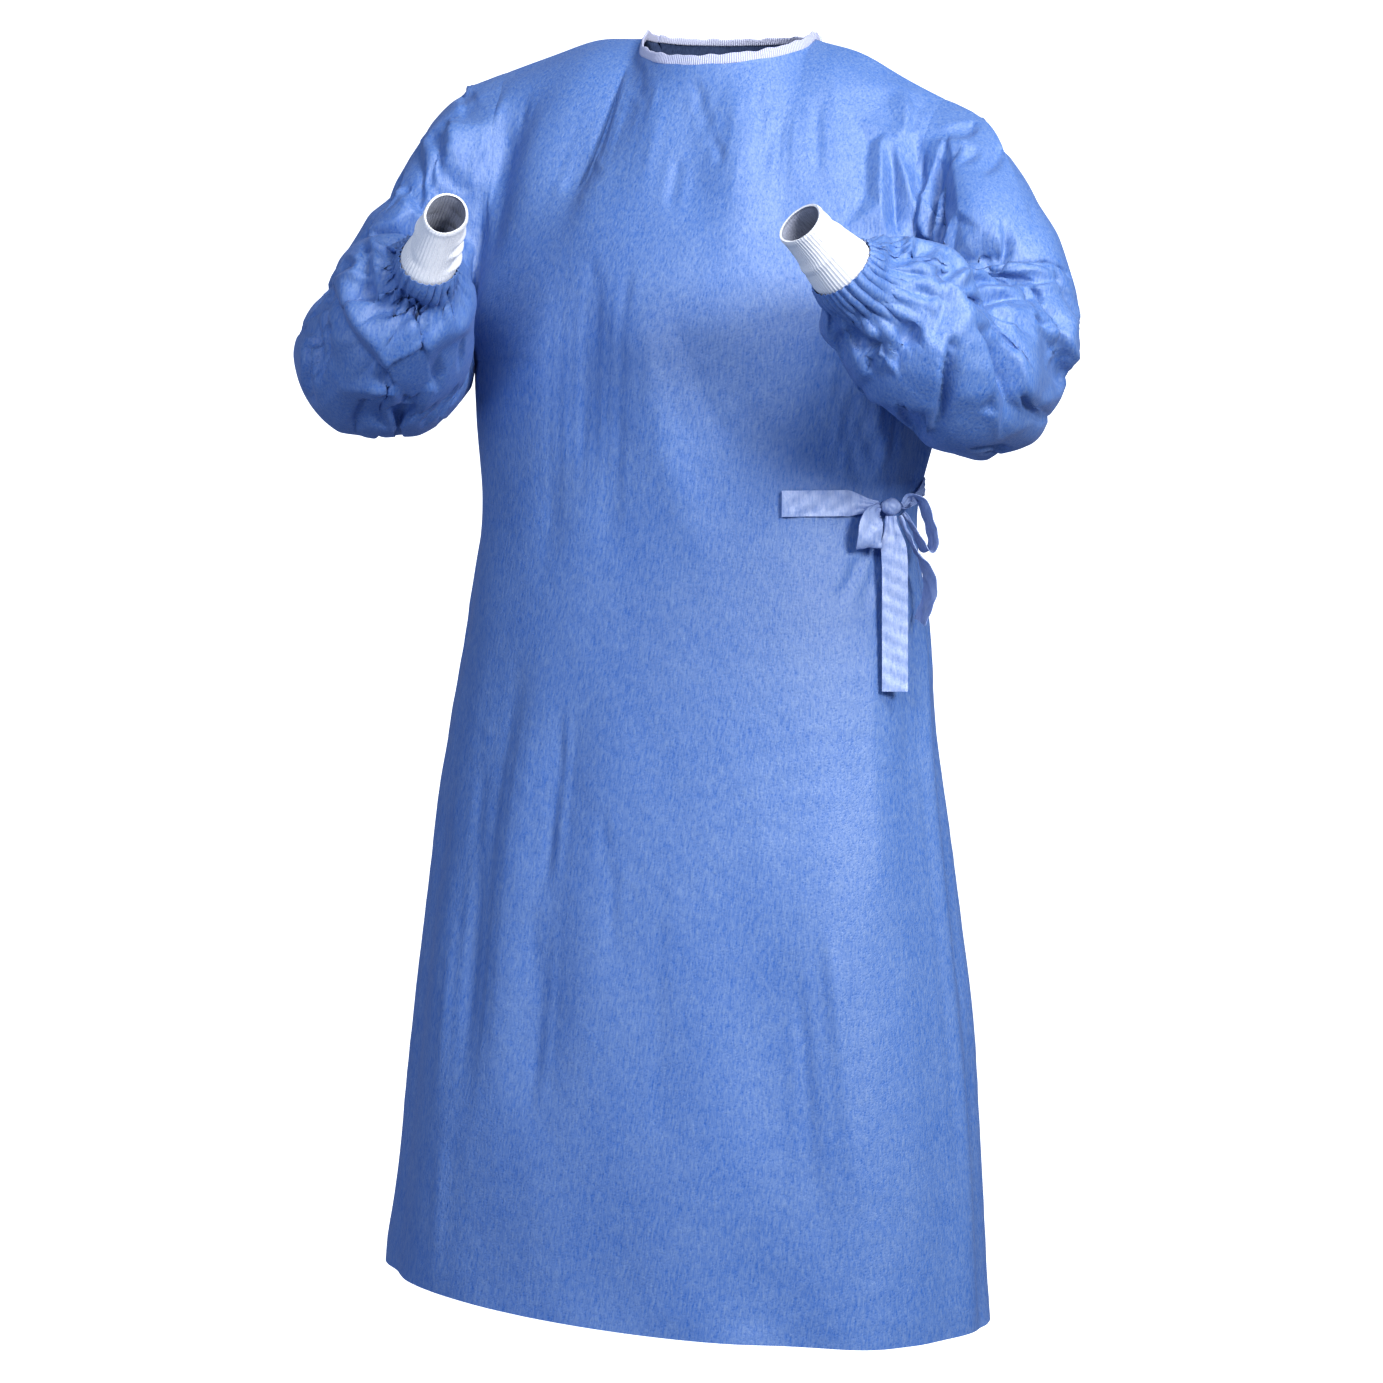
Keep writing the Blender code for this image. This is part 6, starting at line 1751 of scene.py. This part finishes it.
def finish_for(kind):
    """The gown's finish of a kind, made the first time that it is asked for."""
    settings = bpy.context.scene.surgical_gown
    made = bpy.data.materials.get(kind)
    if made:
        return made
    grain = settings.grain_depth
    if kind == "sms_nonwoven":
        return nonwoven(kind, settings.cloth_lit, settings.cloth_deep, grain,
                        roughness=0.55, sheen=0.10)
    if kind == "sms_nonwoven_tie":
        return nonwoven(kind, settings.tie_lit, settings.tie_deep, grain * TIE_GRAIN,
                        roughness=0.50, sheen=0.20, turn=2.0)
    # the inner face: a darker, greyer copy of the cloth, painted shade inside the gown
    if kind == "sms_nonwoven_painted_shade_inside":
        return nonwoven(kind, settings.painted_shade_inside_light, settings.painted_shade_inside_deep, grain,
                        roughness=0.70, sheen=0.0, gloss=0.3)
    if kind == "rib_knit_polyester":
        return rib_knit(kind, settings.knit_colour, "#CFCCD2")
    # the cuffs' inner face: grey knit, painted shade inside the cuff
    if kind == "rib_knit_painted_shade_inside":
        return rib_knit(kind, "#9DA1B0", "#6F7384")
    if kind == "ribbed_binding":
        # the second colour is painted shade between the ribs
        return ribbed_binding(kind, settings.binding_colour, "#A9A8C4")
    if kind == "hook_tape":
        # the second colour is painted shade between the hooks
        return hook_patch(kind, "#E8E8E6", "#8E9096")
    raise ValueError("no such finish: " + kind)


# ---------------------------------------------------------------- settings and operators

def colour_setting(name, where, default):
    """A colour that a user may change."""
    return bpy.props.StringProperty(name=name, description="sRGB hex colour of " + where,
                                    default=default)


def length_setting(name, what, default, least, most):
    """A length that a user may change."""
    return bpy.props.FloatProperty(name=name, description=what, default=default, min=least,
                                   max=most, unit="LENGTH", precision=5)


class GownSettings(bpy.types.PropertyGroup):
    """What a user may change before the pieces are made again."""
    cloth_lit: colour_setting("Cloth, light fibres", "the cloth's fibres", "#768FBA")
    cloth_deep: colour_setting("Cloth, between fibres", "the cloth's hollows", "#2260AE")
    # painted shade: the inner face's colours are a darker, greyer copy of the cloth's
    painted_shade_inside_light: colour_setting("Inside, light fibres", "the inner face's fibres", "#4A5878")
    painted_shade_inside_deep: colour_setting("Inside, between fibres", "the inner face's hollows", "#2C3856")
    tie_lit: colour_setting("Ties, light fibres", "the ties' fibres", "#ACBADA")
    tie_deep: colour_setting("Ties, between fibres", "the ties' hollows", "#7890C6")
    knit_colour: colour_setting("Knit", "the knit cuffs", "#F4F4F3")
    binding_colour: colour_setting("Binding", "the neck binding", "#CDD2E4")
    cloth_thickness: length_setting(
        "Cloth thickness", "Thickness of the panels and sleeves", 0.0008, 0.0003, 0.0016)
    knit_thickness: length_setting(
        "Knit thickness", "Thickness of the cuffs", 0.0020, 0.0010, 0.0025)
    grain_depth: length_setting(
        "Grain depth", "Height of the bonded fibres' relief", 0.00040, 0.0, 0.001)
    crease_scale: bpy.props.FloatProperty(
        name="Creases", description="Height of all creases, as a share of the usual one",
        default=1.0, min=0.0, max=1.5, subtype="FACTOR")
    gather_count: bpy.props.IntProperty(
        name="Gathers", description="Pleats round each wrist", default=28, min=8, max=40)
    gather_depth: length_setting(
        "Gather depth", "Height of the pleats at the wrists", 0.0034, 0.0, 0.006)
    rib_count: bpy.props.IntProperty(
        name="Knit ribs", description="Ribs round each cuff", default=60, min=20, max=90)
    rib_depth: length_setting(
        "Rib depth", "Depth of the grooves between the knit's ribs", 0.0005, 0.0, 0.001)
    floor_z: length_setting("Floor", "Height of the floor under the gown", -1.48, -3.0, -1.27)


class GownOperator:
    """What all operators of the gown share."""
    bl_options = {"REGISTER", "UNDO"}


class GOWN_OT_body(GownOperator, bpy.types.Operator):
    """Make the front and the two overlapping back panels"""
    bl_idname = "gown.body"
    bl_label = "Body panels"

    def execute(self, context):
        s = context.scene.surgical_gown
        grids = body_grids(s.crease_scale)[0]
        for key, node, flat, area in (("front", "front_panel", FLAT["front"], AREA["front"]),
                                      ("left", "back_left_panel", FLAT["back"], AREA["left"]),
                                      ("right", "back_right_panel", FLAT["back"], AREA["right"])):
            # the inner face takes the darker copy of the cloth, painted shade inside the gown
            piece = add_piece("cloth_" + node, grid_mesh(node, grids[key]),
                              finish_for("sms_nonwoven"), (node,), s.cloth_thickness,
                              inside=finish_for("sms_nonwoven_painted_shade_inside"))
        return {"FINISHED"}


class GOWN_OT_sleeves(GownOperator, bpy.types.Operator):
    """Make the two sleeves"""
    bl_idname = "gown.sleeves"
    bl_label = "Sleeves"

    def execute(self, context):
        s = context.scene.surgical_gown
        for side, word in SIDES:
            grid = sleeve_grid(side, s.crease_scale, s.gather_count, s.gather_depth)
            grid = grid[:, ::side]
            nodes = [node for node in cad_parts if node.startswith("sleeve_" + word)]
            piece = add_piece("cloth_sleeve_" + word, grid_mesh("sleeve_" + word, grid, True),
                              finish_for("sms_nonwoven"), nodes, s.cloth_thickness)
        return {"FINISHED"}


class GOWN_OT_cuffs(GownOperator, bpy.types.Operator):
    """Knit the two cuffs"""
    bl_idname = "gown.cuffs"
    bl_label = "Knit cuffs"

    def execute(self, context):
        s = context.scene.surgical_gown
        loops = body_grids(s.crease_scale)[1]
        for side, word in SIDES:
            grid = cuff_grid(side, loops[side], s.rib_count, s.rib_depth)[:, ::side]
            # the inner face takes grey knit, painted shade inside the cuff
            piece = add_piece("knit_cuff_" + word, grid_mesh("cuff_" + word, grid, True),
                              finish_for("rib_knit_polyester"), ("cuff_" + word,),
                              s.knit_thickness, inside=finish_for("rib_knit_painted_shade_inside"))
        return {"FINISHED"}


class GOWN_OT_neck(GownOperator, bpy.types.Operator):
    """Bind the neckline and set the patch that closes the back"""
    bl_idname = "gown.neck"
    bl_label = "Neck binding and fastener"

    def execute(self, context):
        s = context.scene.surgical_gown
        grids = body_grids(s.crease_scale)[0]
        band = grid_mesh("neck_band", binding_grid(grids), True, capped=True)
        piece = add_piece("neck_band", band, finish_for("ribbed_binding"),
                          ("neck_binding",))
        add_piece("hook_patch", grid_mesh("hook_patch", fastener_grid(grids)),
                  finish_for("hook_tape"), ("neck_fastener",),
                  FASTENER_OUT - FASTENER_GAP)
        return {"FINISHED"}


def add_ribbon(node, grid):
    """A tie, or a ribbon of the bow: its grid is in the middle of its thickness."""
    piece = add_piece("tie_" + node, grid_mesh(node, grid), finish_for("sms_nonwoven_tie"),
                      (node,), TIE_THICK, 0.0)


class GOWN_OT_ties(GownOperator, bpy.types.Operator):
    """Make the tie on the front and the belt from the back"""
    bl_idname = "gown.ties"
    bl_label = "Front tie and belt"

    def execute(self, context):
        add_ribbon("front_tie", front_tie_grid())
        add_ribbon("belt", belt_grid())
        return {"FINISHED"}


class GOWN_OT_bow(GownOperator, bpy.types.Operator):
    """Tie the bow: a knot, two loops and two ends"""
    bl_idname = "gown.bow"
    bl_label = "Bow"

    def execute(self, context):
        add_piece("bow_knot_cloth", grid_mesh("bow_knot", knot_grid(), True, capped=True),
                  finish_for("sms_nonwoven_tie"), ("bow_knot",))
        add_ribbon("loop_front", bow_ribbon_grid(FRONT_LOOP))
        add_ribbon("loop_side", bow_ribbon_grid(SIDE_LOOP))
        add_ribbon("tail_short", bow_ribbon_grid(SHORT_TAIL, SHORT_TAIL_ROWS))
        add_ribbon("tail_long", long_tail_grid())
        return {"FINISHED"}


def backdrop_grid(floor_z):
    """The level floor, which turns up in a quarter circle and ends upright."""
    across = np.linspace(-FLOOR_REACH, FLOOR_REACH, 15)
    along = np.concatenate([np.linspace(-FLOOR_REACH, BACKDROP_Y, 12), np.full(6, BACKDROP_Y)])
    turn = np.concatenate([np.zeros(12), np.linspace(0.0, np.pi / 2, 7)[1:]])
    y = along + BACKDROP_BEND * np.sin(turn)
    z = floor_z + BACKDROP_BEND * (1.0 - np.cos(turn))
    y, z = np.append(y, y[-1])[:, None], np.append(z, BACKDROP_TOP)[:, None]
    return np.stack(np.broadcast_arrays(across, y, z), axis=-1)


class GOWN_OT_stage(GownOperator, bpy.types.Operator):
    """Set the camera, the pale floor and backdrop, and the soft lights"""
    bl_idname = "gown.stage"
    bl_label = "Camera, floor and lights"

    def execute(self, context):
        scene = context.scene
        right, up, forward = view_directions()
        lens = bpy.data.cameras.new("camera")
        lens.lens = LENS
        lens.sensor_width = SENSOR
        camera = bpy.data.objects.new("camera", lens)
        turned = Matrix(np.stack([right, up, -forward], axis=1).tolist()).to_4x4()
        camera.matrix_world = Matrix.Translation(EYE.tolist()) @ turned
        scene.collection.objects.link(camera)
        scene.camera = camera

        grid = backdrop_grid(scene.surgical_gown.floor_z)
        floor = bpy.data.objects.new("floor", grid_mesh("floor", grid))
        floor.data.materials.append(plain_stage("pale_backdrop", "#F7F7F8"))
        floor.visible_diffuse = False
        floor.visible_glossy = False
        scene.collection.objects.link(floor)

        for name, at, aim, size, power, colour in LIGHTS:
            lamp = bpy.data.lights.new(name, "AREA")
            lamp.shape = "RECTANGLE"
            lamp.size, lamp.size_y = size
            lamp.energy = power
            lamp.color = linear(colour)[:3]
            light = bpy.data.objects.new(name, lamp)
            light.location = at
            light.rotation_euler = (Vector(aim) - Vector(at)).to_track_quat("-Z", "Y").to_euler()
            scene.collection.objects.link(light)

        world = bpy.data.worlds.new("studio")
        world.use_nodes = True
        sky = world.node_tree.nodes["Background"]
        sky.inputs["Color"].default_value = linear(WORLD_COLOUR)
        sky.inputs["Strength"].default_value = WORLD_STRENGTH
        scene.world = world
        scene.view_settings.view_transform = "Standard"
        scene.view_settings.look = "Medium High Contrast"
        return {"FINISHED"}


class GOWN_PT_panel(bpy.types.Panel):
    """The gown's settings and the operators that make its pieces"""
    bl_idname = "GOWN_PT_panel"
    bl_label = "Surgical Gown"
    bl_space_type = "VIEW_3D"
    bl_region_type = "UI"
    bl_category = "Gown"

    def draw(self, context):
        column = self.layout.column()
        for name in GownSettings.__annotations__:
            column.prop(context.scene.surgical_gown, name)
        for operator in OPERATORS:
            column.operator(operator.bl_idname)


OPERATORS = (GOWN_OT_stage, GOWN_OT_body, GOWN_OT_sleeves, GOWN_OT_cuffs, GOWN_OT_neck,
             GOWN_OT_ties, GOWN_OT_bow)
CLASSES = (GownSettings, *OPERATORS, GOWN_PT_panel)


def register():
    for cls in CLASSES:
        bpy.utils.register_class(cls)
    bpy.types.Scene.surgical_gown = bpy.props.PointerProperty(type=GownSettings)


def unregister():
    del bpy.types.Scene.surgical_gown
    for cls in reversed(CLASSES):
        bpy.utils.unregister_class(cls)


def main():
    """Make everything in order."""
    register()
    for operator in OPERATORS:
        group, name = operator.bl_idname.split(".")
        getattr(getattr(bpy.ops, group), name)()


if __name__ == "__main__":
    main()
